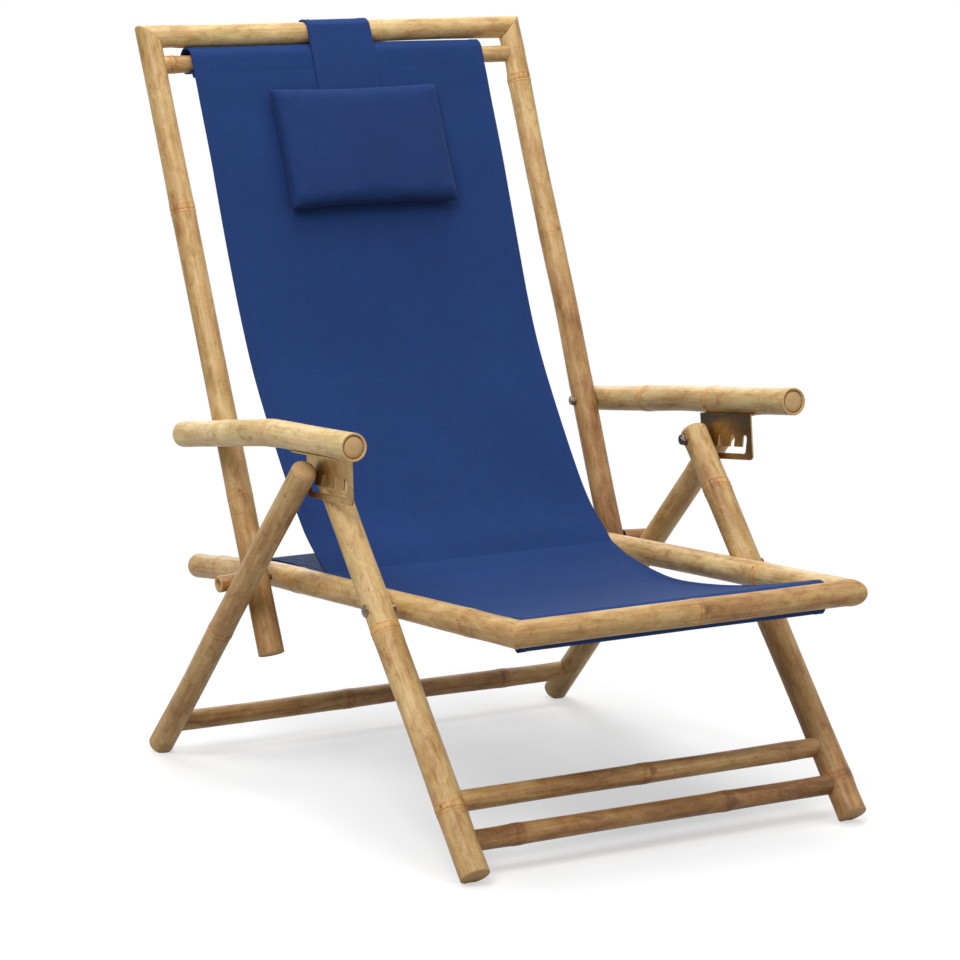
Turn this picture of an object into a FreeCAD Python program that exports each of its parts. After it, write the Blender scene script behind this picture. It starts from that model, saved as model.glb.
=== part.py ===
import FreeCAD, Part
import math
import os

from FreeCAD import Vector

# Reclining deck chair of bamboo culms with a cloth sling.
# Millimetres, origin on the floor under the middle of the chair, front towards -Y, Z up.
# Left and right are the sitter's own: right is -X, left is +X.

# Places of the pivots and corners in the side view, as (y, z)
LEG_PIVOT = (-48, 424)
FRONT_FOOT = (-395, 10.2)
REAR_FOOT = (354, 9.4)
SEAT_PIVOT = (-169, 280)
BACK_PIVOT = (149, 262)
SEAT_FRONT_CORNER = (-428.5, 294.8)
SEAT_RAIL_BEND = (175, 260.5)
SEAT_RAIL_REAR = (392, 233.5)
POST_BOTTOM = (110, 172)
POST_TOP = (428.5, 924.5)

# Places across the chair, measured from its middle plane
REAR_LEG_X = 303
ARM_X = 300
PLATE_INNER_X = 284
FRONT_LEG_X = 265
POST_BOTTOM_X = 264
POST_TOP_X = 270
SEAT_RAIL_X = 229

# Radii of the culms and rods
FRONT_LEG_R = 18
REAR_LEG_R = 16
SEAT_RAIL_R = 16.5
FRONT_RAIL_R = 15.5
POST_R = 16.5
TOP_RAIL_R = 14.5
ARM_R = 17
REAR_STRETCHER_R = 13
FRONT_STRETCHER_R = 12.5
SLING_BAR_R = 11
PEG_R = 10.5
PEG_BORE_R = 6.5
PEG_BORE_DEPTH = 11
PEG_END_X = 318

# Growth rings of bamboo and the way its ends are finished
RING_HEIGHT = 0.9
RING_RISE_LENGTH = 4
RING_FALL_LENGTH = 2
RING_STEP = 0.25
CULM_WALL = 5
HOLLOW_DEPTH = 6
ROUNDING_SHARE = 0.4
LEG_TOP_PAST_PIVOT = 17
BEND_OVERRUN = 10

# Distances along the legs, posts and rails to what they carry
STRETCHER_FROM_FOOT = {"front_stretcher_upper": 95, "front_stretcher_lower": 44}
REAR_STRETCHER_FROM_FOOT = 51
SLING_BAR_BELOW_TOP = 38
SLING_BAR_BEHIND_FRONT = 32

# Armrests: height over the leg pivot, and two straight lengths that meet at a slight bend.
# The two armrests of the photographed chair differ, as two culms do.
ARM_OVER_PIVOT = 47
ARM_PIVOT_UP_POST = 289.3
ARM_FLAT_DEPTH = 1
ARM_BEND_Y = 30
ARM_FRONT_SLOPE = {"right": 3.0, "left": 6.6}
ARM_FRONT_Y = {"right": -176, "left": -211}
ARM_REAR_Y = {"right": 283, "left": 271}

# Notched steel plate under each armrest
PLATE_THICKNESS = 2
PLATE_DEPTH = 58
PLATE_BEHIND_BOLT = 17
PLATE_AHEAD_OF_NOTCHES = 15
FLANGE_WIDTH = 23
PLATE_CORNER_R = 6
NOTCH_COUNT = 4
NOTCH_PITCH = 27
NOTCH_LEAN = 4
NOTCH_RISE = 15
SLOT_WIDTH = 8.6

# Bolts, nuts and screws
BOLT_R = 4
RUNNING_CLEARANCE = 0.08
BOLT_HEAD_R = 8
BOLT_HEAD_THICKNESS = 3.2
NUT_R = 7.5
NUT_THICKNESS = 4.5
FACE_GAP = 0.3
SCREW_R = 2
SCREW_HEAD_R = 4
SCREW_HEAD_THICKNESS = 1.8
SCREW_LENGTH = 14
SCREWS_PER_PLATE = 3

# Cloth of the sling, the pillow and its strap
CLOTH_THICKNESS = 2
SEAT_CLOTH_HALF_WIDTH = 208
BACK_CLOTH_HALF_WIDTH = 215
SEAT_CLOTH_LINE = ((-278, 279), (-187, 263), (-93, 253.5), (-28, 257.5), (20, 265.5))
BIGHT_CLOTH_LINE = ((21.5, 265.8), (60, 277.5), (88, 294.5))
BACK_CLOTH_LINE = (
    (89, 295.6), (117, 323), (155, 371), (207, 445), (246, 508), (276, 571), (302, 636),
    (326, 700), (350, 766), (378, 835))
PILLOW_WIDTH = 246
PILLOW_HEIGHT = 164
PILLOW_THICKNESS = 30
PILLOW_BELOW_TOP = 84
PILLOW_FORWARD = 17
STRAP_WIDTH = 96
STRAP_THICKNESS = 1.6

SIDES = {"right": -1, "left": 1}
X_AXIS = Vector(1, 0, 0)
nodes = {}


def at(x, place):
    """Point at x across the chair and at a (y, z) place of the side view."""
    return Vector(x, place[0], place[1])


def towards(start, end, distance):
    """Place on the line from start to end, at a distance from start."""
    length = math.dist(start, end)
    return tuple(s + (e - s) * distance / length for s, e in zip(start, end))


def rod(start, end, radius):
    return Part.makeCylinder(radius, (end - start).Length, start, end - start)


def culm(start, end, radius, rings=(), start_cap="square", end_cap="square"):
    """Bamboo length turned about its axis: at each growth ring it rises to a ridge and
    goes on a little slimmer, and its ends are square, rounded or hollow with a wall left."""
    length = (end - start).Length
    profile = []
    if start_cap == "hollow":
        profile += [(0, HOLLOW_DEPTH), (radius - CULM_WALL, HOLLOW_DEPTH), (radius - CULM_WALL, 0)]
    else:
        profile.append((0, 0))
    profile.append((radius, 0))
    slimmed = radius
    for ring in sorted(rings):
        profile.append((slimmed, ring - RING_RISE_LENGTH))
        profile.append((slimmed + RING_HEIGHT, ring))
        slimmed -= RING_STEP
        profile.append((slimmed, ring + RING_FALL_LENGTH))
    if end_cap == "rounded":
        rounding = slimmed * ROUNDING_SHARE
        profile += [(slimmed, length - rounding), (slimmed - rounding, length), (0, length)]
    else:
        profile += [(slimmed, length), (0, length)]
    outline = Part.makePolygon([Vector(r, 0, z) for r, z in profile + profile[:1]])
    solid = Part.Face(outline).revolve(Vector(0, 0, 0), Vector(0, 0, 1), 360)
    solid.Placement = FreeCAD.Placement(start, FreeCAD.Rotation(Vector(0, 0, 1), end - start))
    return solid


def half_space(point, normal, size=400):
    """Block that fills the side of a plane that its normal points to."""
    block = Part.makeBox(2 * size, 2 * size, size, Vector(-size, -size, 0))
    block.Placement = FreeCAD.Placement(point, FreeCAD.Rotation(Vector(0, 0, 1), normal))
    return block


def mitre(solid, corner, own_way, other_way):
    """Cut a culm at a corner, on the plane that halves the angle between two culms."""
    return solid.cut(half_space(corner, other_way.normalize() - own_way.normalize()))


def bent_culm(start, bend, end, radius, ring, start_cap="square"):
    """Two straight lengths of one culm that meet at a slight bend, on the plane that halves it."""
    to_start = (start - bend).normalize()
    to_end = (end - bend).normalize()
    first = culm(start, bend - to_start * BEND_OVERRUN, radius, (), start_cap=start_cap)
    second = culm(bend - to_end * BEND_OVERRUN, end, radius, (ring,), end_cap="rounded")
    first = mitre(first, bend, Vector(to_start), Vector(to_end))
    second = mitre(second, bend, Vector(to_end), Vector(to_start))
    return first.fuse(second)


def bored(solid, start, end, radius):
    return solid.cut(rod(start, end, radius))


def prism(start, end, radius, sides):
    """Straight prism on a regular outline, for nuts, bolt heads and screws."""
    corners = [Vector(radius * math.cos(a), radius * math.sin(a), 0)
               for a in (2 * math.pi * k / sides for k in range(sides + 1))]
    solid = Part.Face(Part.makePolygon(corners)).extrude(Vector(0, 0, (end - start).Length))
    solid.Placement = FreeCAD.Placement(start, FreeCAD.Rotation(Vector(0, 0, 1), end - start))
    return solid


def hex_nut(place, way):
    return prism(place, place + way * NUT_THICKNESS, NUT_R, 6)


def bolt_head(place, way):
    return prism(place, place + way * BOLT_HEAD_THICKNESS, BOLT_HEAD_R, 16)


def group(shapes):
    return Part.makeCompound(list(shapes))


def line_way(start, end):
    """Unit way along the side view, from one (y, z) place to another."""
    return (at(0, end) - at(0, start)).normalize()


LEG_UP_FRONT = line_way(FRONT_FOOT, LEG_PIVOT)
LEG_UP_REAR = line_way(REAR_FOOT, LEG_PIVOT)
POST_UP = line_way(POST_BOTTOM, POST_TOP)
POST_FORWARD = X_AXIS.cross(POST_UP)
ARM_PIVOT = towards(POST_BOTTOM, POST_TOP, ARM_PIVOT_UP_POST)


def post_x(place):
    """Distance of a post's middle line from the middle plane, at a place along the post."""
    share = math.dist(POST_BOTTOM, place) / math.dist(POST_BOTTOM, POST_TOP)
    return POST_BOTTOM_X + (POST_TOP_X - POST_BOTTOM_X) * share


def arm_ways(side):
    """Ways forward and up of the front length of an armrest."""
    slope = math.radians(ARM_FRONT_SLOPE[side])
    return Vector(0, -math.cos(slope), math.sin(slope)), Vector(0, math.sin(slope), math.cos(slope))


def arm_places(side):
    """Front end, bend and rear end of an armrest's middle line, in the side view."""
    forward, up = arm_ways(side)
    over = at(0, LEG_PIVOT) + up * ARM_OVER_PIVOT
    slope = math.tan(math.radians(ARM_FRONT_SLOPE[side]))
    front = (ARM_FRONT_Y[side], over.z + (over.y - ARM_FRONT_Y[side]) * slope)
    bend = (ARM_BEND_Y, over.z + (over.y - ARM_BEND_Y) * slope)
    rear_slope = (bend[1] - ARM_PIVOT[1]) / (ARM_PIVOT[0] - bend[0])
    rear = (ARM_REAR_Y[side], bend[1] - (ARM_REAR_Y[side] - ARM_BEND_Y) * rear_slope)
    return front, bend, rear


def floor_cut(solid):
    """Trim a foot where it stands, so that it rests on a small flat."""
    return solid.cut(half_space(Vector(0, 0, 0), Vector(0, 0, -1), 1000))


def make_front_legs():
    """Front leg frame: two legs, two stretchers and the bolts that it holds."""
    top = at(0, LEG_PIVOT) + LEG_UP_FRONT * LEG_TOP_PAST_PIVOT
    for side, sign in SIDES.items():
        foot = at(sign * FRONT_LEG_X, FRONT_FOOT)
        ring = 262 if side == "right" else 318
        leg = culm(foot, top + X_AXIS * sign * FRONT_LEG_X, FRONT_LEG_R, (ring,), end_cap="rounded")
        leg = floor_cut(leg)
        for pivot in (LEG_PIVOT, SEAT_PIVOT):
            leg = bored(leg, at(sign * 240, pivot), at(sign * 290, pivot), BOLT_R)
        nodes["front_leg_" + side] = leg
    for name, distance in STRETCHER_FROM_FOOT.items():
        place = towards(FRONT_FOOT, LEG_PIVOT, distance)
        bar = rod(at(-FRONT_LEG_X, place), at(FRONT_LEG_X, place), FRONT_STRETCHER_R)
        nodes[name] = bar.cut(nodes["front_leg_right"]).cut(nodes["front_leg_left"])


def make_root_bolts():
    """Bolts at the leg and seat pivots. The leg bolt is open where the notched plate slides."""
    leg_bolts = []
    seat_bolts = []
    inner_face = FRONT_LEG_X - FRONT_LEG_R
    outer_face = FRONT_LEG_X + FRONT_LEG_R
    for sign in SIDES.values():
        inwards = X_AXIS * -sign
        shank = rod(at(sign * (inner_face - NUT_THICKNESS), LEG_PIVOT),
                    at(sign * (PLATE_INNER_X - FACE_GAP), LEG_PIVOT), BOLT_R)
        leg_bolts.append(shank.fuse(hex_nut(at(sign * inner_face, LEG_PIVOT), inwards)))
        rail_face = SEAT_RAIL_X - SEAT_RAIL_R - FACE_GAP
        shank = rod(at(sign * (rail_face - NUT_THICKNESS), SEAT_PIVOT),
                    at(sign * outer_face, SEAT_PIVOT), BOLT_R)
        bolt = shank.fuse(hex_nut(at(sign * rail_face, SEAT_PIVOT), inwards))
        seat_bolts.append(bolt.fuse(bolt_head(at(sign * outer_face, SEAT_PIVOT), inwards * -1)))
    nodes["leg_bolts_inner"] = group(leg_bolts)
    nodes["seat_pivot_bolts"] = group(seat_bolts)


def make_rear_legs():
    """Rear leg frame: two legs that carry the blind ends of the leg bolts, and one stretcher."""
    top = at(0, LEG_PIVOT) + LEG_UP_REAR * LEG_TOP_PAST_PIVOT
    for side, sign in SIDES.items():
        foot = at(sign * REAR_LEG_X, REAR_FOOT)
        ring = 400 if side == "right" else 330
        leg = culm(foot, top + X_AXIS * sign * REAR_LEG_X, REAR_LEG_R, (ring,), end_cap="rounded")
        leg = floor_cut(leg)
        start = at(sign * (PLATE_INNER_X + PLATE_THICKNESS + FACE_GAP), LEG_PIVOT)
        nodes["rear_leg_" + side] = leg.fuse(rod(start, at(sign * REAR_LEG_X, LEG_PIVOT), BOLT_R))
    place = towards(REAR_FOOT, LEG_PIVOT, REAR_STRETCHER_FROM_FOOT)
    bar = rod(at(-REAR_LEG_X, place), at(REAR_LEG_X, place), REAR_STRETCHER_R)
    nodes["rear_stretcher"] = bar.cut(nodes["rear_leg_right"]).cut(nodes["rear_leg_left"])


def make_seat_frame():
    """Seat frame: two side rails with a slight bend, the front rail and the sling bar."""
    corner_way = at(0, SEAT_RAIL_BEND) - at(0, SEAT_FRONT_CORNER)
    past_corner = at(0, SEAT_FRONT_CORNER) - line_way(SEAT_FRONT_CORNER, SEAT_RAIL_BEND) * 40
    for side, sign in SIDES.items():
        shift = X_AXIS * sign * SEAT_RAIL_X
        bend = at(sign * SEAT_RAIL_X, SEAT_RAIL_BEND)
        rail = bent_culm(past_corner + shift, bend, at(sign * SEAT_RAIL_X, SEAT_RAIL_REAR),
                         SEAT_RAIL_R, 130)
        rail = mitre(rail, at(sign * SEAT_RAIL_X, SEAT_FRONT_CORNER), Vector(corner_way), X_AXIS * -sign)
        hole = BOLT_R + RUNNING_CLEARANCE
        for pivot in (SEAT_PIVOT, BACK_PIVOT):
            rail = bored(rail, at(sign * 200, pivot), at(sign * 250, pivot), hole)
        nodes["seat_rail_" + side] = rail
    front_rail = culm(at(-SEAT_RAIL_X - 40, SEAT_FRONT_CORNER), at(SEAT_RAIL_X + 40, SEAT_FRONT_CORNER),
                      FRONT_RAIL_R, (330,))
    for sign in SIDES.values():
        corner = at(sign * SEAT_RAIL_X, SEAT_FRONT_CORNER)
        front_rail = mitre(front_rail, corner, X_AXIS * -sign, Vector(corner_way))
    nodes["seat_front_rail"] = front_rail
    place = towards(SEAT_FRONT_CORNER, SEAT_RAIL_BEND, SLING_BAR_BEHIND_FRONT)
    bar = rod(at(-SEAT_RAIL_X, place), at(SEAT_RAIL_X, place), SLING_BAR_R)
    nodes["seat_sling_bar"] = bar.cut(nodes["seat_rail_right"]).cut(nodes["seat_rail_left"])
    return place


def make_back_frame():
    """Back frame: two posts mitred to the top rail, and the sling bar under it."""
    for side, sign in SIDES.items():
        foot = at(sign * POST_BOTTOM_X, POST_BOTTOM)
        corner = at(sign * POST_TOP_X, POST_TOP)
        down = (foot - corner).normalize()
        ring = 700 if side == "right" else 620
        post = culm(foot, corner - down * 40, POST_R, (ring,), start_cap="hollow")
        post = mitre(post, corner, Vector(down), X_AXIS * -sign)
        hole = BOLT_R + RUNNING_CLEARANCE
        for pivot in (BACK_PIVOT, ARM_PIVOT):
            post = bored(post, at(sign * 235, pivot), at(sign * 290, pivot), hole)
        nodes["back_post_" + side] = post
    rail = culm(at(-POST_TOP_X - 40, POST_TOP), at(POST_TOP_X + 40, POST_TOP), TOP_RAIL_R, (420,))
    for sign in SIDES.values():
        corner = at(sign * POST_TOP_X, POST_TOP)
        down = (at(sign * POST_BOTTOM_X, POST_BOTTOM) - corner).normalize()
        rail = mitre(rail, corner, X_AXIS * -sign, down)
    nodes["top_rail"] = rail
    place = towards(POST_TOP, POST_BOTTOM, SLING_BAR_BELOW_TOP)
    bar = rod(at(-POST_TOP_X, place), at(POST_TOP_X, place), SLING_BAR_R)
    nodes["back_sling_bar"] = bar.cut(nodes["back_post_right"]).cut(nodes["back_post_left"])
    return place


def make_back_pivot():
    """Bolts at the back pivot, with the bamboo pegs that rest on the rear legs."""
    bolts = []
    pegs = []
    rail_face = SEAT_RAIL_X - SEAT_RAIL_R - FACE_GAP
    post_face = post_x(BACK_PIVOT) + POST_R + FACE_GAP
    bore_end = PEG_END_X - PEG_BORE_DEPTH
    for sign in SIDES.values():
        head = at(sign * rail_face, BACK_PIVOT)
        inner = at(sign * post_face, BACK_PIVOT)
        middle = at(sign * bore_end, BACK_PIVOT)
        outer = at(sign * PEG_END_X, BACK_PIVOT)
        bolts.append(rod(head, middle, BOLT_R).fuse(bolt_head(head, X_AXIS * -sign)))
        pegs.append(bored(rod(inner, outer, PEG_R), inner, outer, PEG_BORE_R))
    nodes["back_pivot_bolts"] = group(bolts)
    nodes["rest_pegs"] = group(pegs)


def make_arm_bolts():
    """Bolts that hold the armrests to the posts, blind in the armrest."""
    bolts = []
    post_face = post_x(ARM_PIVOT) - POST_R - FACE_GAP
    for sign in SIDES.values():
        head = at(sign * post_face, ARM_PIVOT)
        shank = rod(head, at(sign * (ARM_X + 6), ARM_PIVOT), BOLT_R)
        bolts.append(shank.fuse(bolt_head(head, X_AXIS * -sign)))
    nodes["arm_pivot_bolts"] = group(bolts)


def plate_point(side, x, ahead, up):
    """Point of a notched plate: ahead of the leg pivot along the arm, and up from it."""
    forward_way, up_way = arm_ways(side)
    return at(x, LEG_PIVOT) + forward_way * ahead + up_way * up


def slot_run(side, start, end, x):
    """Round-ended slot between two (ahead, up) places, as a cutter through the plate."""
    sign = SIDES[side]
    cutter = None
    for place in (start, end):
        disc = Part.makeCylinder(SLOT_WIDTH / 2, 3 * PLATE_THICKNESS,
                                 plate_point(side, x - sign * PLATE_THICKNESS, *place), X_AXIS * sign)
        cutter = disc if cutter is None else cutter.fuse(disc)
    ahead = end[0] - start[0]
    up = end[1] - start[1]
    half = SLOT_WIDTH / 2 / math.hypot(ahead, up)
    corners = [(start[0] - up * half, start[1] + ahead * half), (end[0] - up * half, end[1] + ahead * half),
               (end[0] + up * half, end[1] - ahead * half), (start[0] + up * half, start[1] - ahead * half)]
    corners.append(corners[0])
    inner_x = x - sign * PLATE_THICKNESS
    outline = Part.makePolygon([plate_point(side, inner_x, *corner) for corner in corners])
    return cutter.fuse(Part.Face(outline).extrude(X_AXIS * sign * 3 * PLATE_THICKNESS))


def make_notched_plate(side):
    """Steel plate bent to an L: a flange under the arm, and a web with a comb of notches."""
    sign = SIDES[side]
    top = ARM_OVER_PIVOT - ARM_R + ARM_FLAT_DEPTH
    bottom = top - PLATE_DEPTH
    rear = -PLATE_BEHIND_BOLT
    front = (NOTCH_COUNT - 1) * NOTCH_PITCH + PLATE_AHEAD_OF_NOTCHES
    x = sign * PLATE_INNER_X
    corners = [(rear, bottom), (front, bottom), (front, top), (rear, top), (rear, bottom)]
    outline = Part.makePolygon([plate_point(side, x, *corner) for corner in corners])
    web = Part.Face(outline).extrude(X_AXIS * sign * PLATE_THICKNESS)
    up = arm_ways(side)[1]
    low = [edge for edge in web.Edges
           if abs(edge.tangentAt(0).x) > 0.999 and (edge.CenterOfMass - at(0, LEG_PIVOT)).dot(up) < 0]
    web = web.makeFillet(PLATE_CORNER_R, low)
    corridor = -NOTCH_RISE
    first = -NOTCH_LEAN
    web = web.cut(slot_run(side, (first, corridor), (first + (NOTCH_COUNT - 1) * NOTCH_PITCH, corridor), x))
    for notch in range(NOTCH_COUNT):
        ahead = notch * NOTCH_PITCH
        web = web.cut(slot_run(side, (ahead - NOTCH_LEAN, corridor), (ahead, 0), x))
    corners = [(rear, top), (front, top), (front, top - PLATE_THICKNESS), (rear, top - PLATE_THICKNESS),
               (rear, top)]
    outline = Part.makePolygon([plate_point(side, x, *corner) for corner in corners])
    flange = Part.Face(outline).extrude(X_AXIS * sign * FLANGE_WIDTH)
    return web.fuse(flange).removeSplitter()


def plate_block(side):
    """Space that the planed flat takes from the armrest's underside, over the flange's length."""
    sign = SIDES[side]
    top = ARM_OVER_PIVOT - ARM_R + ARM_FLAT_DEPTH
    rear = -PLATE_BEHIND_BOLT
    front = (NOTCH_COUNT - 1) * NOTCH_PITCH + PLATE_AHEAD_OF_NOTCHES
    x = sign * (ARM_X - ARM_R)
    corners = [(rear, top - ARM_R), (front, top - ARM_R), (front, top), (rear, top), (rear, top - ARM_R)]
    outline = Part.makePolygon([plate_point(side, x, *corner) for corner in corners])
    return Part.Face(outline).extrude(X_AXIS * sign * 2 * ARM_R)


def screw_places():
    """Places of the plate's screws along the arm, evenly spaced ahead of the leg pivot."""
    front = (NOTCH_COUNT - 1) * NOTCH_PITCH + PLATE_AHEAD_OF_NOTCHES
    span = front + PLATE_BEHIND_BOLT
    return [-PLATE_BEHIND_BOLT + span * (k + 0.5) / SCREWS_PER_PLATE for k in range(SCREWS_PER_PLATE)]


def make_arms():
    """Armrests with a notched plate screwed under each."""
    screws = []
    flat = ARM_OVER_PIVOT - ARM_R + ARM_FLAT_DEPTH
    for side, sign in SIDES.items():
        front, bend, rear = arm_places(side)
        arm = bent_culm(at(sign * ARM_X, front), at(sign * ARM_X, bend), at(sign * ARM_X, rear),
                        ARM_R, 100 if side == "right" else 70, start_cap="hollow")
        arm = arm.cut(plate_block(side))
        arm = bored(arm, at(sign * (POST_TOP_X + POST_R - 5), ARM_PIVOT), at(sign * (ARM_X + 6), ARM_PIVOT),
                    BOLT_R + RUNNING_CLEARANCE)
        plate = make_notched_plate(side)
        up = arm_ways(side)[1]
        for ahead in screw_places():
            seat = plate_point(side, sign * (ARM_X - 1), ahead, flat - PLATE_THICKNESS)
            shank = prism(seat, seat + up * SCREW_LENGTH, SCREW_R, 6)
            plate = plate.cut(shank)
            arm = arm.cut(shank)
            screws.append(shank.fuse(prism(seat, seat - up * SCREW_HEAD_THICKNESS, SCREW_HEAD_R, 12)))
        nodes["armrest_" + side] = arm
        nodes["notched_plate_" + side] = plate
    nodes["plate_screws"] = group(screws)


def cloth_sheet(places, start_width, end_width):
    """Sheet along a smooth line in the side view, whose half width changes evenly."""
    curve = Part.BSplineCurve()
    curve.interpolate([at(0, place) for place in places])
    steps = 4 + round((at(0, places[-1]) - at(0, places[0])).Length / 120)
    first, last = curve.FirstParameter, curve.LastParameter
    upper = []
    lower = []
    for k in range(steps + 1):
        u = first + (last - first) * k / steps
        way = curve.tangent(u)[0]
        out = X_AXIS.cross(way) * (CLOTH_THICKNESS / 2)
        upper.append(curve.value(u) + out)
        lower.append(curve.value(u) - out)
    sides = []
    for line in (upper, lower):
        side = Part.BSplineCurve()
        side.interpolate(line)
        sides.append(side.toShape())
    ends = [Part.LineSegment(upper[0], lower[0]).toShape(), Part.LineSegment(upper[-1], lower[-1]).toShape()]
    face = Part.Face(Part.Wire(Part.sortEdges(sides + ends)[0]))
    face.translate(X_AXIS * -300)
    sheet = face.extrude(X_AXIS * 600)
    start = at(0, places[0])
    end = at(0, places[-1])
    run = (end - start).normalize()
    for sign in SIDES.values():
        edge_start = start + X_AXIS * sign * start_width
        edge_way = (end + X_AXIS * sign * end_width) - edge_start
        outwards = run.cross(X_AXIS).cross(edge_way).normalize()
        if outwards.x * sign < 0:
            outwards = outwards * -1
        sheet = sheet.cut(half_space(edge_start, outwards, 1500))
    return sheet


def sleeve(place, half_width):
    """Hem sleeve of the cloth round its bar."""
    outer = rod(at(-half_width, place), at(half_width, place), SLING_BAR_R + CLOTH_THICKNESS)
    return outer.cut(rod(at(-half_width, place), at(half_width, place), SLING_BAR_R))


def make_cloth(seat_bar, back_bar):
    """Sling in three lengths: two that carry a sleeve round a bar, and the bight between them."""
    reach = SLING_BAR_R + CLOTH_THICKNESS / 2
    leave_seat = at(0, seat_bar) + Vector(0, math.sin(0.2), math.cos(0.2)) * reach
    leave_back = at(0, back_bar) + POST_FORWARD * reach
    seat_line = ((leave_seat.y, leave_seat.z),) + SEAT_CLOTH_LINE
    back_line = BACK_CLOTH_LINE + ((leave_back.y, leave_back.z),)
    for name, line, bar, widths in (
            ("seat_cloth", seat_line, seat_bar, (SEAT_CLOTH_HALF_WIDTH, SEAT_CLOTH_HALF_WIDTH)),
            ("back_cloth", back_line, back_bar, (SEAT_CLOTH_HALF_WIDTH, BACK_CLOTH_HALF_WIDTH))):
        sheet = cloth_sheet(line, *widths)
        sheet = sheet.fuse(sleeve(bar, max(widths)))
        hollow = rod(at(-300, bar), at(300, bar), SLING_BAR_R)
        nodes[name] = sheet.cut(hollow).removeSplitter()
    nodes["bight_cloth"] = cloth_sheet(BIGHT_CLOTH_LINE, SEAT_CLOTH_HALF_WIDTH, SEAT_CLOTH_HALF_WIDTH)


def back_point(x, below_top, forward):
    """Point of the back: across, down the posts from the top rail, and forward of their plane."""
    return at(x, POST_TOP) - POST_UP * below_top + POST_FORWARD * forward


def pillow_section(below_top, half_width, front, rear):
    """Lens between two arcs that meet in the side seams."""
    left = back_point(half_width, below_top, PILLOW_FORWARD)
    right = back_point(-half_width, below_top, PILLOW_FORWARD)
    belly = Part.Arc(left, back_point(0, below_top, PILLOW_FORWARD + front), right).toShape()
    heel = Part.Arc(right, back_point(0, below_top, PILLOW_FORWARD - rear), left).toShape()
    return Part.Wire([belly, heel])


def make_pillow():
    """Crowned pillow whose sides draw in between its corners, on a strap round the top rail."""
    sections = []
    for share, draw_in, fullness in ((0, 0, 0.12), (0.25, 0.05, 0.9), (0.75, 0.05, 0.9), (1, 0, 0.12)):
        below = PILLOW_BELOW_TOP + share * PILLOW_HEIGHT
        half_width = PILLOW_WIDTH / 2 * (1 - draw_in)
        sections.append(pillow_section(below, half_width, fullness * PILLOW_THICKNESS * 0.88,
                                       fullness * PILLOW_THICKNESS * 0.12))
    nodes["headrest_pillow"] = Part.makeLoft(sections, True, True)
    inner = TOP_RAIL_R
    outer = TOP_RAIL_R + STRAP_THICKNESS
    half = STRAP_WIDTH / 2
    loop = rod(at(-half, POST_TOP), at(half, POST_TOP), outer)
    run_corners = [(0, inner), (PILLOW_BELOW_TOP, PILLOW_FORWARD - STRAP_THICKNESS / 2),
                   (PILLOW_BELOW_TOP, PILLOW_FORWARD + STRAP_THICKNESS / 2), (0, outer), (0, inner)]
    run = Part.Face(Part.makePolygon([back_point(-half, *corner) for corner in run_corners]))
    strap = loop.fuse(run.extrude(X_AXIS * STRAP_WIDTH))
    rail_space = rod(at(-half - 5, POST_TOP), at(half + 5, POST_TOP), inner)
    nodes["headrest_strap"] = strap.cut(rail_space).removeSplitter()


make_front_legs()
make_root_bolts()
make_rear_legs()
seat_bar_place = make_seat_frame()
back_bar_place = make_back_frame()
make_back_pivot()
make_arm_bolts()
make_arms()
make_cloth(seat_bar_place, back_bar_place)
make_pillow()

os.makedirs("parts", exist_ok=True)
for name, shape in nodes.items():
    if not shape.isValid():
        print("not valid:", name)
    shape.exportStep("parts/" + name + ".step")
whole = Part.makeCompound(list(nodes.values())).BoundBox
print(len(nodes), "nodes; size", round(whole.XLength, 1), round(whole.YLength, 1), round(whole.ZLength, 1))
print("low corner", round(whole.XMin, 1), round(whole.YMin, 1), round(whole.ZMin, 1))
print("arm pivot", ARM_PIVOT, "sling bars", seat_bar_place, back_bar_place)
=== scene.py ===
import math

import bpy
import numpy as np
from mathutils import Matrix


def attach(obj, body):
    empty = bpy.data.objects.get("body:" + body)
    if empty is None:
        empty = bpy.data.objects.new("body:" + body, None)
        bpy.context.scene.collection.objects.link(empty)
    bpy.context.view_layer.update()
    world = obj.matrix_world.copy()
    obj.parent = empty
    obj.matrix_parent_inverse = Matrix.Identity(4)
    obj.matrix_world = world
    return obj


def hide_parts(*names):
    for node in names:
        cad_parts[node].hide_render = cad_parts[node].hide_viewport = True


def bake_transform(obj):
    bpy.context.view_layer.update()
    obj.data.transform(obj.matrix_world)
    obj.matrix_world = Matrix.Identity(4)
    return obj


# Reclining deck chair of bamboo culms with a cloth sling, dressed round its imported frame.
# Metres, origin on the floor under the middle of the chair, front towards -Y, Z up.
# Left and right are the sitter's own: right is -X, left is +X.

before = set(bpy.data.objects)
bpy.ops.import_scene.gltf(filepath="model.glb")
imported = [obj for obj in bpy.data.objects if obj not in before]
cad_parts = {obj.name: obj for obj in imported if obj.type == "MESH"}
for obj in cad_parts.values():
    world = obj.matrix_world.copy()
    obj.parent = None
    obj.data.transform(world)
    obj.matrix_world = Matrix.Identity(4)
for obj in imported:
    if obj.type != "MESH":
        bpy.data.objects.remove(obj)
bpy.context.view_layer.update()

# Places of the pivots and corners in the side view, as (y, z)
LEG_PIVOT = (-0.048, 0.424)
FRONT_FOOT = (-0.395, 0.0102)
REAR_FOOT = (0.354, 0.0094)
SEAT_PIVOT = (-0.169, 0.280)
BACK_PIVOT = (0.149, 0.262)
SEAT_FRONT_CORNER = (-0.4285, 0.2948)
SEAT_RAIL_BEND = (0.175, 0.2605)
SEAT_RAIL_REAR = (0.392, 0.2335)
POST_BOTTOM = (0.110, 0.172)
POST_TOP = (0.4285, 0.9245)

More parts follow.
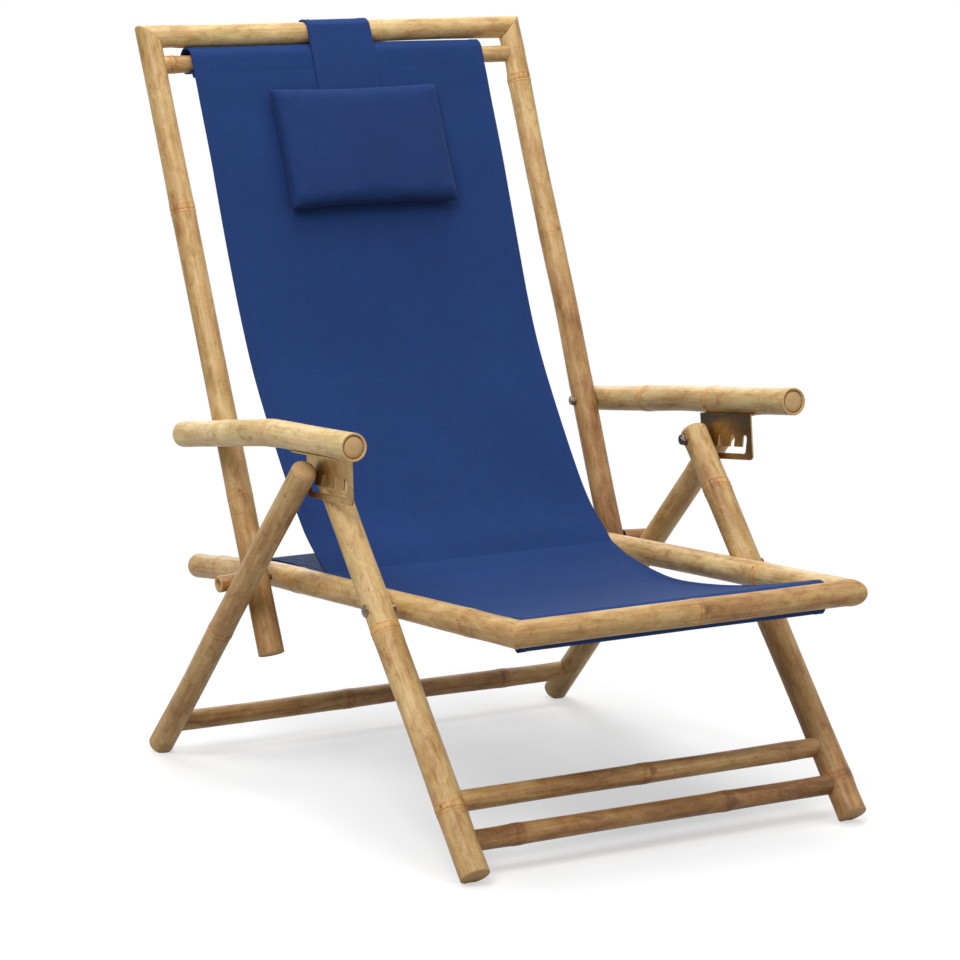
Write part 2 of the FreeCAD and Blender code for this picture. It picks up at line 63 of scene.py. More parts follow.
# Places across the chair, measured from its middle plane
REAR_LEG_X = 0.303
ARM_X = 0.300
PLATE_INNER_X = 0.284
PLATE_THICKNESS = 0.002
PLATE_PLAY = 0.001
SCREWS_AHEAD = (0.0018333, 0.0395, 0.0771667)
FRONT_LEG_X = 0.265
POST_BOTTOM_X = 0.264
POST_TOP_X = 0.270
SEAT_RAIL_X = 0.229

# Radii of the culms and bars
FRONT_LEG_R = 0.018
REAR_LEG_R = 0.016
SEAT_RAIL_R = 0.0165
FRONT_RAIL_R = 0.0155
POST_R = 0.0165
TOP_RAIL_R = 0.0145
ARM_R = 0.017
REAR_STRETCHER_R = 0.013
FRONT_STRETCHER_R = 0.0125
SLING_BAR_R = 0.011
PEG_R = 0.0105
PEG_BORE_R = 0.0065
PEG_END_X = 0.318
BOLT_R = 0.004

# Distances along the legs, posts and rails
LEG_TOP_PAST_PIVOT = 0.017
UPPER_STRETCHER_FROM_FOOT = 0.095
LOWER_STRETCHER_FROM_FOOT = 0.044
REAR_STRETCHER_FROM_FOOT = 0.051
SLING_BAR_BELOW_TOP = 0.038
SLING_BAR_BEHIND_FRONT = 0.032
REAR_BAR_BEHIND_BEND = 0.062

# Armrests: two straight lengths that meet at a slight bend, different on the two sides
ARM_OVER_PIVOT = 0.047
ARM_PIVOT_UP_POST = 0.2893
ARM_BEND_Y = 0.030
ARM_FRONT_SLOPE = {"right": 3.0, "left": 6.6}
ARM_FRONT_Y = {"right": -0.176, "left": -0.211}
ARM_REAR_Y = {"right": 0.283, "left": 0.271}

# Sling, pillow and strap
CLOTH_THICKNESS = 0.0014
FRONT_CLOTH_HALF_WIDTH = 0.2115
SEAT_CLOTH_HALF_WIDTH = 0.210
BACK_CLOTH_HALF_WIDTH = 0.218
TAIL_HALF_WIDTH = 0.2085
CREASE_SHIFT = -0.003
BACK_SHIFT = -0.0045
HEM_WIDTH = 0.009
STITCH_LENGTH = 0.0034
SEAT_LINE = ((-0.278, 0.279), (-0.187, 0.263), (-0.093, 0.2535), (-0.028, 0.2575), (0.020, 0.2655),
             (0.040, 0.2714))
CREASE = (0.061, 0.2780)
TAIL_LINE = ((0.085, 0.2755), (0.120, 0.2745), (0.160, 0.2730), (0.200, 0.2700))
BACK_LINE = ((0.080, 0.2945), (0.117, 0.3245), (0.155, 0.371), (0.207, 0.445), (0.246, 0.508),
             (0.276, 0.571), (0.302, 0.636), (0.326, 0.700), (0.350, 0.766), (0.378, 0.835))
PILLOW_WIDTH = 0.246
PILLOW_HEIGHT = 0.164
PILLOW_THICKNESS = 0.030
PILLOW_BELOW_TOP = 0.084
PILLOW_FORWARD = 0.017
PILLOW_GIVE = 0.30
STRAP_WIDTH = 0.093

# Camera at the photograph's viewing angle
CAMERA_PLACE = (-2.2896, -3.8473, 1.1696)
CAMERA_YAW = -0.5317
CAMERA_PITCH = 0.1732
CAMERA_LENS = 136.3

SIDES = {"right": -1, "left": 1}
X_WAY = np.array([1.0, 0.0, 0.0])
UP_WAY = np.array([0.0, 0.0, 1.0])


def unit(vector):
    """Vector of length one along a vector."""
    return np.asarray(vector, float) / np.linalg.norm(vector)


def at(x, place):
    """Point at x across the chair and at a (y, z) place of the side view."""
    return np.array([x, place[0], place[1]])


def towards(start, end, distance):
    """Place on the line from start to end, at a distance from start."""
    start = np.asarray(start, float)
    return tuple(start + unit(np.asarray(end) - start) * distance)


ARM_PIVOT = towards(POST_BOTTOM, POST_TOP, ARM_PIVOT_UP_POST)
SEAT_BAR = towards(SEAT_FRONT_CORNER, SEAT_RAIL_BEND, SLING_BAR_BEHIND_FRONT)
REAR_BAR = towards(SEAT_RAIL_BEND, SEAT_RAIL_REAR, REAR_BAR_BEHIND_BEND)
BACK_BAR = towards(POST_TOP, POST_BOTTOM, SLING_BAR_BELOW_TOP)
LEG_UP_FRONT = unit(at(0, LEG_PIVOT) - at(0, FRONT_FOOT))
LEG_UP_REAR = unit(at(0, LEG_PIVOT) - at(0, REAR_FOOT))
POST_UP = unit(at(0, POST_TOP) - at(0, POST_BOTTOM))
POST_FORWARD = np.cross(X_WAY, POST_UP)


def post_x(place):
    """Distance of a post's middle line from the middle plane, at a place along the post."""
    share = math.dist(POST_BOTTOM, place) / math.dist(POST_BOTTOM, POST_TOP)
    return POST_BOTTOM_X + (POST_TOP_X - POST_BOTTOM_X) * share


def arm_ways(side):
    """Ways forward and up of the front length of an armrest."""
    slope = math.radians(ARM_FRONT_SLOPE[side])
    return np.array([0, -math.cos(slope), math.sin(slope)]), np.array([0, math.sin(slope), math.cos(slope)])


def arm_places(side):
    """Front end, bend and rear end of an armrest's middle line, in the side view."""
    over = at(0, LEG_PIVOT) + arm_ways(side)[1] * ARM_OVER_PIVOT
    slope = math.tan(math.radians(ARM_FRONT_SLOPE[side]))
    front = (ARM_FRONT_Y[side], over[2] + (over[1] - ARM_FRONT_Y[side]) * slope)
    bend = (ARM_BEND_Y, over[2] + (over[1] - ARM_BEND_Y) * slope)
    rear_slope = (bend[1] - ARM_PIVOT[1]) / (ARM_PIVOT[0] - bend[0])
    rear = (ARM_REAR_Y[side], bend[1] - (ARM_REAR_Y[side] - ARM_BEND_Y) * rear_slope)
    return front, bend, rear


# Meshes from numpy arrays

def grid_faces(rows, columns, closed):
    """Quads between neighbouring rows of a grid; closed joins each row's end to its start."""
    i = np.arange(rows - 1)[:, None]
    j = np.arange(columns if closed else columns - 1)[None, :]
    k = (j + 1) % columns
    quads = np.stack([i * columns + j, i * columns + k, (i + 1) * columns + k, (i + 1) * columns + j], -1)
    return quads.reshape(-1, 4).tolist()


def fan_faces(centre, first, columns, backwards):
    """Triangles from one pole to the row that starts at first; backwards goes round it the other
    way."""
    j = np.arange(columns)
    k = (j + 1) % columns
    ends = (k, j) if backwards else (j, k)
    return np.stack([np.full(columns, centre), first + ends[0], first + ends[1]], -1).tolist()


def signed_volume(points, faces):
    """Volume inside a closed surface, from the tetrahedra between the origin and its faces."""
    total = 0.0
    for size in (3, 4):
        corners = np.array([face for face in faces if len(face) == size], int)
        for k in range(1, size - 1):
            if len(corners):
                a, b, c = points[corners[:, 0]], points[corners[:, k]], points[corners[:, k + 1]]
                total += np.einsum("ij,ij->i", a, np.cross(b, c)).sum() / 6
    return total


def add_piece(name, points, faces, values=None, uv=None):
    """Object of a mesh with its per-point values, its faces turned outwards if it is closed."""
    if uv is None and signed_volume(points, faces) < 0:
        faces = [face[::-1] for face in faces]
    mesh = bpy.data.meshes.new(name)
    mesh.from_pydata(points.tolist(), [], faces)
    for key, array in (values or {}).items():
        kind, field = ("FLOAT_VECTOR", "vector") if array.ndim == 2 else ("FLOAT", "value")
        layer = mesh.attributes.new(key, kind, "POINT")
        layer.data.foreach_set(field, np.ascontiguousarray(array, np.float32).ravel())
    if uv is not None:
        corners = np.empty(len(mesh.loops), np.int32)
        mesh.loops.foreach_get("vertex_index", corners)
        mesh.uv_layers.new(name="cloth").data.foreach_set("uv", uv[corners].astype(np.float32).ravel())
    mesh.polygons.foreach_set("use_smooth", np.full(len(mesh.polygons), True))
    mesh.update()
    piece = bpy.data.objects.new(name, mesh)
    bpy.context.collection.objects.link(piece)
    return piece


def cross_ways(way):
    """Two ways square to a way; the first lies as near to X as it can, or to Z for a way along X."""
    near = X_WAY if abs(way[0]) < 0.7 else UP_WAY
    first = unit(near - way * (near @ way))
    return first, np.cross(way, first)


# Bamboo

CULM_SIDES = 48
WALL = 0.0027
HOLLOW_DEPTH = 0.0042
GAP_REACH = 0.03
BEND_REACH = 0.03
MITRE_REACH = 0.06
FACING_FRONT = 1.1
BRANCH_BUD = 2.3
RING_OFFSETS = np.array([-16, -11, -8, -6, -4.6, -3.4, -2.5, -1.8, -1.2, -0.7, -0.2, 0.3, 0.7, 1.1, 1.6, 2.2,
                         3.0, 4.0, 5.0, 6.0, 7.5, 10, 14]) / 1000


def ring_shape(d):
    """Rise of a growth ring over the culm, d metres past it: a broad swelling, the sanded edge that
    the leaf sheath left, a thin groove behind the edge and a lower shoulder."""
    d = d * 1000
    return 0.001 * (0.55 * np.exp(-((d - 2) / 11) ** 2) + 0.35 * np.exp(-((d + 1.3) / 1.4) ** 2)
                    - 0.40 * np.exp(-((d - 0.5) / 0.7) ** 2) + 0.30 * np.exp(-((d - 5.5) / 2.2) ** 2))


def cap_rows(kind, radius):
    """Rows that close an end, from its middle outwards, as (depth, share of the radius, inset)."""
    inner = (radius - WALL) / radius
    if kind == "rounded":
        turn = np.linspace(0, math.pi / 2, 10)
        depth = 0.44 * radius * (1 - np.cos(turn))
        return ([(0, 0, 0), (0, 0.16, 0)]
                + [(d, 0.3 + 0.7 * math.sin(t), 0) for d, t in zip(depth, turn)])
    if kind == "hollow":
        return [(0.0006, 0, 0), (0.0007, 0.35, 0), (0.0012, inner, 0.0026), (0.0020, inner, 0.0018),
                (HOLLOW_DEPTH, inner, 0.0014), (HOLLOW_DEPTH, inner, 0.0001), (0.0008, inner, 0),
                (0.0001, inner, -0.0004), (0, inner, -0.0008), (0, 1, 0.0010), (0.0001, 1, 0.0006),
                (0.0004, 1, 0.0002), (0.0010, 1, 0)]
    if kind == "bore":
        inner = PEG_BORE_R / radius
        return [(0.009, 0, 0), (0.009, inner * 0.97, 0), (0.0085, inner, 0), (0.0008, inner, 0),
                (0.0001, inner, -0.0004), (0, inner, -0.0008), (0, 1, 0.0012), (0.0002, 1, 0.0006),
                (0.0006, 1, 0.0002), (0.0012, 1, 0)]
    return [(0, 0, 0), (0, 0.5, 0), (0, 1, 0.0010), (0.0001, 1, 0.0006), (0.0004, 1, 0.0002), (0.0010, 1, 0)]


def body_rows(length, rings, margin):
    """Distances along a culm where its wall gets a row of points, close together at its rings."""
    spots = [np.linspace(margin[0], length - margin[1], 2 + int(length / 0.012))]
    spots += [ring + RING_OFFSETS for ring in rings]
    spots = np.sort(np.concatenate(spots))
    spots = spots[(spots >= margin[0]) & (spots <= length - margin[1])]
    return spots[np.concatenate([[True], np.diff(spots) > 0.00035])]


def culm(name, places, radii, rings, tones_and_shade, caps=("cut", "cut"), planes=(None, None), seed=0,
         floor=False, crooked=0.0010, bud_side=None, bud_size=1.0):
    """Bamboo culm along two or three places. rings maps each ring's distance to its strength, and
    tones give the colour at the two ends, from 0, pale straw, to 1, dark brown; they hold the
    culm's own colour together with painted shade, set darker on culms that lie in shadow. caps
    says how each end is closed: cut, rounded, hollow or bore. bud_side is the angle of the first
    ring's bud, with the others on alternate sides, and bud_size multiplies the buds' size.

    The surface is centre(s) + r(s, a) * (first * cos a + second * sin a) over the distance s and
    the angle a. centre(s) follows the straight lengths, joined by a parabola at the bend, and bows
    a little to alternate sides between rings. r tapers between the two radii, is slimmer in the
    middle of each length between rings, a little out of round, and carries ring_shape at each
    ring, a shallow channel above each ring on alternate sides, and a bud there. Near an end with a
    plane, each line along the wall is stretched to end on that plane.
    """
    rng = np.random.default_rng(seed)
    places = np.asarray(places, float)
    first_way = unit(places[1] - places[0])
    last_way = unit(places[-1] - places[-2])
    first_length = np.linalg.norm(places[1] - places[0])
    length = first_length + (np.linalg.norm(places[2] - places[1]) if len(places) == 3 else 0)
    starts = cap_rows(caps[0], radii[0])
    ends = cap_rows(caps[1], radii[1])[::-1]
    wall = body_rows(length, rings, (starts[-1][0] + 0.0012, ends[0][0] + 0.0012))
    s = np.concatenate([[row[0] for row in starts], wall, [length - row[0] for row in ends]])
    share = np.concatenate([[row[1] for row in starts], np.ones(len(wall)), [row[1] for row in ends]])
    inset = np.concatenate([[row[2] for row in starts], np.zeros(len(wall)), [row[2] for row in ends]])
    cut = np.concatenate([np.ones(len(starts)), np.zeros(len(wall)), np.ones(len(ends))])
    cut[len(starts) - 1] = cut[len(starts) + len(wall)] = 0.0
    # End-cap rows more than 1.5 mm in from the end get painted shade, for the dark inside hollow ends and
    # bores; it is left off every end when the first end is rounded.
    dark = np.where((cut == 1) & (np.minimum(s, length - s) > 0.0015), 1.0, 0.0)
    a = np.linspace(0, 2 * math.pi, CULM_SIDES, endpoint=False)[None, :]
    wide = s[:, None]

    radius = radii[0] + (radii[1] - radii[0]) * wide / length + np.zeros_like(a)
    oval = 0.008 * np.cos(2 * (a - rng.uniform(0, 6)))
    three_sided = 0.005 * np.cos(3 * (a - rng.uniform(0, 6)))
    radius = radius * (1 + oval + three_sided)
    bud_angle = rng.uniform(0, 2 * math.pi) if bud_side is None else bud_side
    gap = np.full(radius.shape, GAP_REACH)
    mark = np.zeros_like(radius)
    bud = np.zeros_like(radius)
    bounds = [0.0] + sorted(rings) + [length]
    for number, ring in enumerate(sorted(rings)):
        wave = 0.0011 * np.sin(a + rng.uniform(0, 6)) + 0.0006 * np.sin(2 * a + rng.uniform(0, 6))
        d = wide - ring - wave
        radius = radius + rings[ring] * ring_shape(d)
        mark = np.where(np.abs(d) < np.abs(gap), rings[ring], mark)
        gap = np.where(np.abs(d) < np.abs(gap), d, gap)
        side = bud_angle + number * math.pi + rng.normal(0, 0.25)
        turn = (a - side + math.pi) % (2 * math.pi) - math.pi
        above = np.clip((wide - ring - 0.004) / (bounds[number + 2] - ring), 0, 1)
        channel = np.where(wide > ring + 0.004, (1 - above) ** 1.5, 0) * np.minimum((wide - ring) / 0.02, 1)
        radius = radius - 0.0007 * channel * np.exp(-(turn / 0.42) ** 2)
        beyond = (wide - ring - 0.0045 * bud_size) / (0.0032 * bud_size)
        spot = np.exp(-(turn * radii[0] / (0.0026 * bud_size)) ** 2 - beyond ** 2)
        radius = radius + 0.0006 * rings[ring] * spot
        bud = np.maximum(bud, spot)
    for low, high in zip(bounds, bounds[1:]):
        inside = np.clip((wide - low) / max(high - low, 1e-6), 0, 1)
        radius = radius - 0.00035 * np.sin(math.pi * inside) ** 2
    r = np.maximum(radius * share[:, None] - inset[:, None] * (share[:, None] > 0), 0)
    r = np.where(share[:, None] == 0, 0, r)

    first, second = cross_ways(first_way)
    out = first * np.cos(a)[..., None] + second * np.sin(a)[..., None]
    along = wide + np.zeros_like(r)
    for end, way, normal in ((0, first_way, planes[0]), (1, last_way, planes[1])):
        if normal is not None:
            reach = -(r * (out @ normal)) / (way @ normal)
            near = np.clip(1 - (wide if end == 0 else length - wide) / MITRE_REACH, 0, 1)
            along = along + reach * near ** 1.5
    bent = np.zeros(r.shape)
    past = np.zeros(r.shape)
    if len(places) == 3:
        run = along - first_length
        curved = np.clip(run + BEND_REACH, 0, 2 * BEND_REACH) ** 2 / (4 * BEND_REACH)
        past = curved + np.maximum(run - BEND_REACH, 0)
        bent = np.clip((run + BEND_REACH) / (2 * BEND_REACH), 0, 1)
    points = places[0] + along[..., None] * first_way + past[..., None] * (last_way - first_way)
    heading = first_way + bent[..., None] * (last_way - first_way)
    out = out - heading * np.einsum("ijk,ijk->ij", out, heading)[..., None]
    out = out / np.linalg.norm(out, axis=2, keepdims=True)
    bow = np.zeros(r.shape)
    for number, (low, high) in enumerate(zip(bounds, bounds[1:])):
        inside = np.clip((wide - low) / max(high - low, 1e-6), 0, 1)
        bow = bow + (-1) ** number * crooked * rng.uniform(0.5, 1.2) * np.sin(math.pi * inside) ** 2
    bow_way = first * math.cos(bud_angle) + second * math.sin(bud_angle)
    points = points + r[..., None] * out + bow[..., None] * bow_way
    if floor:
        points[..., 2] = np.maximum(points[..., 2], 0)

    # Colour along the culm: its own colour with painted shade set per culm, darker on culms in shadow, plus
    # random steps between rings.
    steps = rng.uniform(-0.07, 0.07, len(rings) + 1)[np.searchsorted(sorted(rings), s)]
    tone_and_shade = (tones_and_shade[0] + (tones_and_shade[1] - tones_and_shade[0]) * s / length + steps)[:, None] + np.zeros_like(r)
    place = np.stack([r * np.cos(a), r * np.sin(a), along + 1.7 * seed], -1)
    values = {"culm_place": place, "ring_gap": gap, "ring_near": np.abs(gap), "ring_mark": mark,
              "tone_and_shade": tone_and_shade, "bud_and_hollow_shade": np.maximum(bud, dark[:, None] * (caps[0] != "rounded")),
              "end_cut": cut[:, None] + np.zeros_like(r)}
    rows = len(s)
    inner = slice(1, rows - 1)
    grid = points[inner].reshape(-1, 3)
    poles = np.stack([points[0].mean(0), points[-1].mean(0)])
    packed = {}
    for key, array in values.items():
        flat = array[inner].reshape((-1,) + array.shape[2:])
        packed[key] = np.concatenate([flat, array[[0, -1], 0]])
    faces = grid_faces(rows - 2, CULM_SIDES, True)
    faces += fan_faces(len(grid), 0, CULM_SIDES, True)
    faces += fan_faces(len(grid) + 1, (rows - 3) * CULM_SIDES, CULM_SIDES, False)
    return add_piece(name, np.concatenate([grid, poles]), faces, packed)


def turned(name, spots, way, profile, sides=40, hexagon=None):
    """Solids turned about a way through each spot, from a profile of (height, radius) that starts
    and ends on the axis. hexagon trims it to a nut of that size across its flats: the radius at
    an angle is the smaller of the profile's and that of the hexagon."""
    first, second = cross_ways(way)
    a = np.linspace(0, 2 * math.pi, sides, endpoint=False)
    height = np.array([row[0] for row in profile])[:, None]
    radius = np.array([row[1] for row in profile])[:, None] + np.zeros((1, sides))
    if hexagon:
        flat = (a + math.pi / 6) % (math.pi / 3) - math.pi / 6
        radius = np.minimum(radius, hexagon / 2 / np.cos(flat))
    shape = (height[..., None] * way + radius[..., None]
             * (first * np.cos(a)[None, :, None] + second * np.sin(a)[None, :, None]))
    rows = len(profile)
    points = []
    faces = []
    for spot in spots:
        solid = np.concatenate([(spot + shape[1:-1]).reshape(-1, 3), [spot + way * height[0, 0]],
                                [spot + way * height[-1, 0]]])
        base = sum(len(part) for part in points)
        count = (rows - 2) * sides
        own = grid_faces(rows - 2, sides, True)
        own += fan_faces(count, 0, sides, True)
        own += fan_faces(count + 1, (rows - 3) * sides, sides, False)
        if signed_volume(solid, own) < 0:
            own = [face[::-1] for face in own]
        faces += [[index + base for index in face] for face in own]
        points.append(solid)
    return add_piece(name, np.concatenate(points), faces)


def join(name, pieces):
    """One object of several, under the first one's new name."""
    bpy.ops.object.select_all(action="DESELECT")
    for piece in pieces:
        piece.select_set(True)
    bpy.context.view_layer.objects.active = pieces[0]
    bpy.ops.object.join()
    pieces[0].name = name
    pieces[0].data.name = name
    return pieces[0]


# Shader helpers

def linear(red, green, blue):
    """Linear colour of an sRGB colour given in 0 to 255."""
    share = np.array([red, green, blue]) / 255
    low, high = share / 12.92, ((share + 0.055) / 1.055) ** 2.4
    return tuple(np.where(share <= 0.04045, low, high)) + (1.0,)


class Nodes:
    """A node tree with short calls that add a node and link its inputs."""

    def __init__(self, tree):
        self.tree = tree

    def add(self, kind, inputs=None, **settings):
        node = self.tree.nodes.new(kind)
        for key, value in settings.items():
            setattr(node, key, value)
        for key, value in (inputs or {}).items():
            self.feed(node.inputs[key], value)
        return node

    def feed(self, socket, value):
        if isinstance(value, bpy.types.NodeSocket):
            self.tree.links.new(value, socket)
        else:
            socket.default_value = value

    def math(self, operation, a, b=0.0, c=0.0, clamp=False):
        node = self.add("ShaderNodeMath", {0: a, 1: b, 2: c}, operation=operation, use_clamp=clamp)
        return node.outputs[0]

    def range(self, value, low, high, to_low=0.0, to_high=1.0):
        node = self.add("ShaderNodeMapRange", {0: value, 1: low, 2: high, 3: to_low, 4: to_high})
        node.interpolation_type = "SMOOTHSTEP"
        return node.outputs[0]

    def mix(self, share, a, b, blend="MIX"):
        node = self.add("ShaderNodeMix", data_type="RGBA", blend_type=blend)
        self.feed(node.inputs[0], share)
        self.feed(node.inputs[6], a)
        self.feed(node.inputs[7], b)
        return node.outputs[2]

    def ramp(self, value, colors):
        """Colour for a value, from sRGB colours keyed by their place from 0 to 1."""
        node = self.add("ShaderNodeValToRGB", {0: value})
        stops = node.color_ramp.elements
        while len(stops) < len(colors):
            stops.new(0.5)
        for stop, (place, color) in zip(stops, sorted(colors.items())):
            stop.position = place
            stop.color = linear(*color)
        return node.outputs[0]

    def noise(self, vector, scale, detail=2.0, roughness=0.5, distortion=0.0):
        inputs = {"Vector": vector, "Scale": scale, "Detail": detail, "Roughness": roughness,
                  "Distortion": distortion}
        return self.add("ShaderNodeTexNoise", inputs).outputs["Fac"]

    def stretch(self, vector, scale):
        return self.add("ShaderNodeVectorMath", {0: vector, 1: scale}, operation="MULTIPLY").outputs[0]

    def attribute(self, name, output="Fac"):
        return self.add("ShaderNodeAttribute", attribute_name=name).outputs[output]


def new_group(name, inputs, outputs):
    """Shader node group with named sockets, given as {name: default}; a tuple is a colour."""
    tree = bpy.data.node_groups.new(name, "ShaderNodeTree")
    kinds = {tuple: "NodeSocketColor", float: "NodeSocketFloat"}
    for key, value in inputs.items():
        socket = tree.interface.new_socket(key, in_out="INPUT", socket_type=kinds[type(value)])
        socket.default_value = value
    for key, kind in outputs.items():
        tree.interface.new_socket(key, in_out="OUTPUT", socket_type="NodeSocket" + kind)
    nodes = Nodes(tree)
    return nodes, nodes.add("NodeGroupInput").outputs, nodes.add("NodeGroupOutput").inputs


def new_material(name):
    """Material with its node helper and its Principled shader."""
    material = bpy.data.materials.new(name)
    material.use_nodes = True
    nodes = Nodes(material.node_tree)
    return material, nodes, material.node_tree.nodes["Principled BSDF"]


def bamboo_group():
    """Skin of a bamboo culm: long fibres over a colour per culm that darkens from straw to brown and
    holds painted shade on culms in shadow, green and brown clouds, freckles, pale flecks that are
    partly painted glints, ochre bands with thin dark lines at the rings, buds, painted shade deep in
    hollow ends and bores, and pores at cuts."""
    n, given, out = new_group(
        "bamboo_skin", {"Greenness": 0.35, "Brownness": 0.3},
        {"Color": "Color", "Roughness": "Float", "Height": "Float"})
    place = n.attribute("culm_place", "Vector")
    gap = n.attribute("ring_gap")
    cut = n.attribute("end_cut")
    fine = n.noise(n.stretch(place, (1, 1, 0.012)), 1500, 3.0, 0.6)
    streak = n.noise(n.stretch(place, (1, 1, 0.03)), 260, 2.0, 0.5)
    broad = n.noise(n.stretch(place, (1, 1, 0.20)), 52, 2.0, 0.5)
    cloud = n.noise(n.stretch(place, (1, 1, 0.35)), 40, 3.0, 0.55, 0.4)
    blotch = n.noise(n.stretch(place, (1, 1, 0.45)), 84, 5.0, 0.64, 0.7)
    speck = n.noise(n.stretch(place, (1, 1, 0.5)), 620, 2.0, 0.5)

    # Colour per culm: the skin's own colour and painted shade together.
    shade = n.attribute("tone_and_shade")
    for layer, weight in ((streak, 0.40), (broad, 0.75), (blotch, 0.72)):
        shade = n.math("MULTIPLY_ADD", n.math("SUBTRACT", layer, 0.5), weight, shade)
    color = n.ramp(shade, {0.0: (218, 193, 144), 0.25: (201, 171, 119), 0.5: (178, 141, 89),
                           0.75: (150, 107, 62), 1.0: (112, 75, 39)})
    green = n.math("MULTIPLY", n.range(cloud, 0.44, 0.68), given["Greenness"])
    color = n.mix(green, color, n.mix(0.50, color, linear(196, 194, 118), "MULTIPLY"))
    brown = n.math("MULTIPLY", n.range(blotch, 0.52, 0.70), given["Brownness"])
    color = n.mix(brown, color, linear(136, 92, 50))
    fleck = n.math("MULTIPLY", n.range(speck, 0.64, 0.72), 0.6)
    color = n.mix(fleck, color, linear(104, 68, 38))
    # Pale flecks: partly the skin's own pale specks, partly painted glints.
    pale = n.math("MULTIPLY", n.range(speck, 0.35, 0.28), 0.20)
    color = n.mix(pale, color, linear(228, 204, 160))
    lines = n.range(fine, 0.25, 0.75, 0.88, 1.07)
    color = n.mix(1.0, color, n.add("ShaderNodeCombineColor", {0: lines, 1: lines, 2: lines}).outputs[0],
                  "MULTIPLY")

    near = n.math("MULTIPLY", n.range(n.attribute("ring_near"), 0.014, 0.022, 1.0, 0.0),
                  n.attribute("ring_mark"))
    broken = n.range(n.noise(place, 340, 2.0, 0.6), 0.36, 0.60, 0.25, 1.0)
    ragged = n.math("MULTIPLY_ADD", n.math("SUBTRACT", streak, 0.5), 0.005, gap)
    ragged = n.math("MULTIPLY_ADD", n.math("SUBTRACT", blotch, 0.5), 0.008, ragged)
    band = n.math("MULTIPLY", n.range(ragged, -0.0060, -0.0005), n.range(ragged, 0.0070, 0.0130, 1.0, 0.0))
    ochre = n.ramp(shade, {0.40: (202, 156, 92), 0.60: (158, 108, 62), 0.80: (104, 66, 36)})
    color = n.mix(n.math("MULTIPLY", n.math("MULTIPLY", band, 0.88), near), color, ochre)
    for middle, line, reach, strength, scar_color in (
            (0.0004, gap, 0.0012, 0.90, (112, 66, 36)), (0.0078, ragged, 0.0014, 0.80, (122, 76, 44)),
            (-0.0030, ragged, 0.0014, 0.35, (146, 98, 58))):
        scar = n.range(n.math("ABSOLUTE", n.math("SUBTRACT", line, middle)), 0.0002, reach, strength, 0.0)
        scar = n.math("MULTIPLY", n.math("MULTIPLY", scar, near), broken)
        color = n.mix(scar, color, linear(*scar_color))
    # Dark brown at the buds, their own colour, and painted shade deep in hollow ends and bores, both from
    # one attribute.
    ragged_bud_and_shade = n.math("MULTIPLY_ADD", n.math("SUBTRACT", blotch, 0.5), 1.2, n.attribute("bud_and_hollow_shade"))
    spot = n.range(ragged_bud_and_shade, 0.25, 0.85, 0.0, 0.75)
    color = n.mix(spot, color, linear(104, 66, 36))

    pores = n.add("ShaderNodeTexVoronoi", {"Vector": place, "Scale": 1500.0}).outputs["Distance"]
    wood = n.mix(n.range(pores, 0.1, 0.45), linear(126, 84, 46), linear(196, 160, 112))
    color = n.mix(n.math("MULTIPLY", cut, 0.8), color, wood)

    rough = n.math("MULTIPLY_ADD", n.math("SUBTRACT", streak, 0.5), 0.25, 0.50)
    rough = n.math("MULTIPLY_ADD", cut, 0.25, rough)
    height = n.math("MULTIPLY_ADD", fine, 0.5, n.math("MULTIPLY", streak, 0.9))
    height = n.math("MULTIPLY_ADD", blotch, 0.5, height)
    n.feed(out["Color"], color)
    n.feed(out["Roughness"], rough)
    n.feed(out["Height"], height)
    return n.tree


def bamboo(name, tree, greenness, brownness):
    """Satin lacquered bamboo with its share of green and brown clouds."""
    material, n, shader = new_material(name)
    group = n.add("ShaderNodeGroup", node_tree=tree)
    group.inputs["Greenness"].default_value = greenness
    group.inputs["Brownness"].default_value = brownness
    bump = n.add("ShaderNodeBump", {"Height": group.outputs["Height"]})
    bump.inputs["Strength"].default_value = 0.40
    bump.inputs["Distance"].default_value = 0.0006
    n.feed(shader.inputs["Base Color"], group.outputs["Color"])
    n.feed(shader.inputs["Roughness"], group.outputs["Roughness"])
    n.feed(shader.inputs["Normal"], bump.outputs["Normal"])
    shader.inputs["Specular IOR Level"].default_value = 0.34
    shader.inputs["Coat Weight"].default_value = 0.05
    shader.inputs["Coat Roughness"].default_value = 0.32
    return material


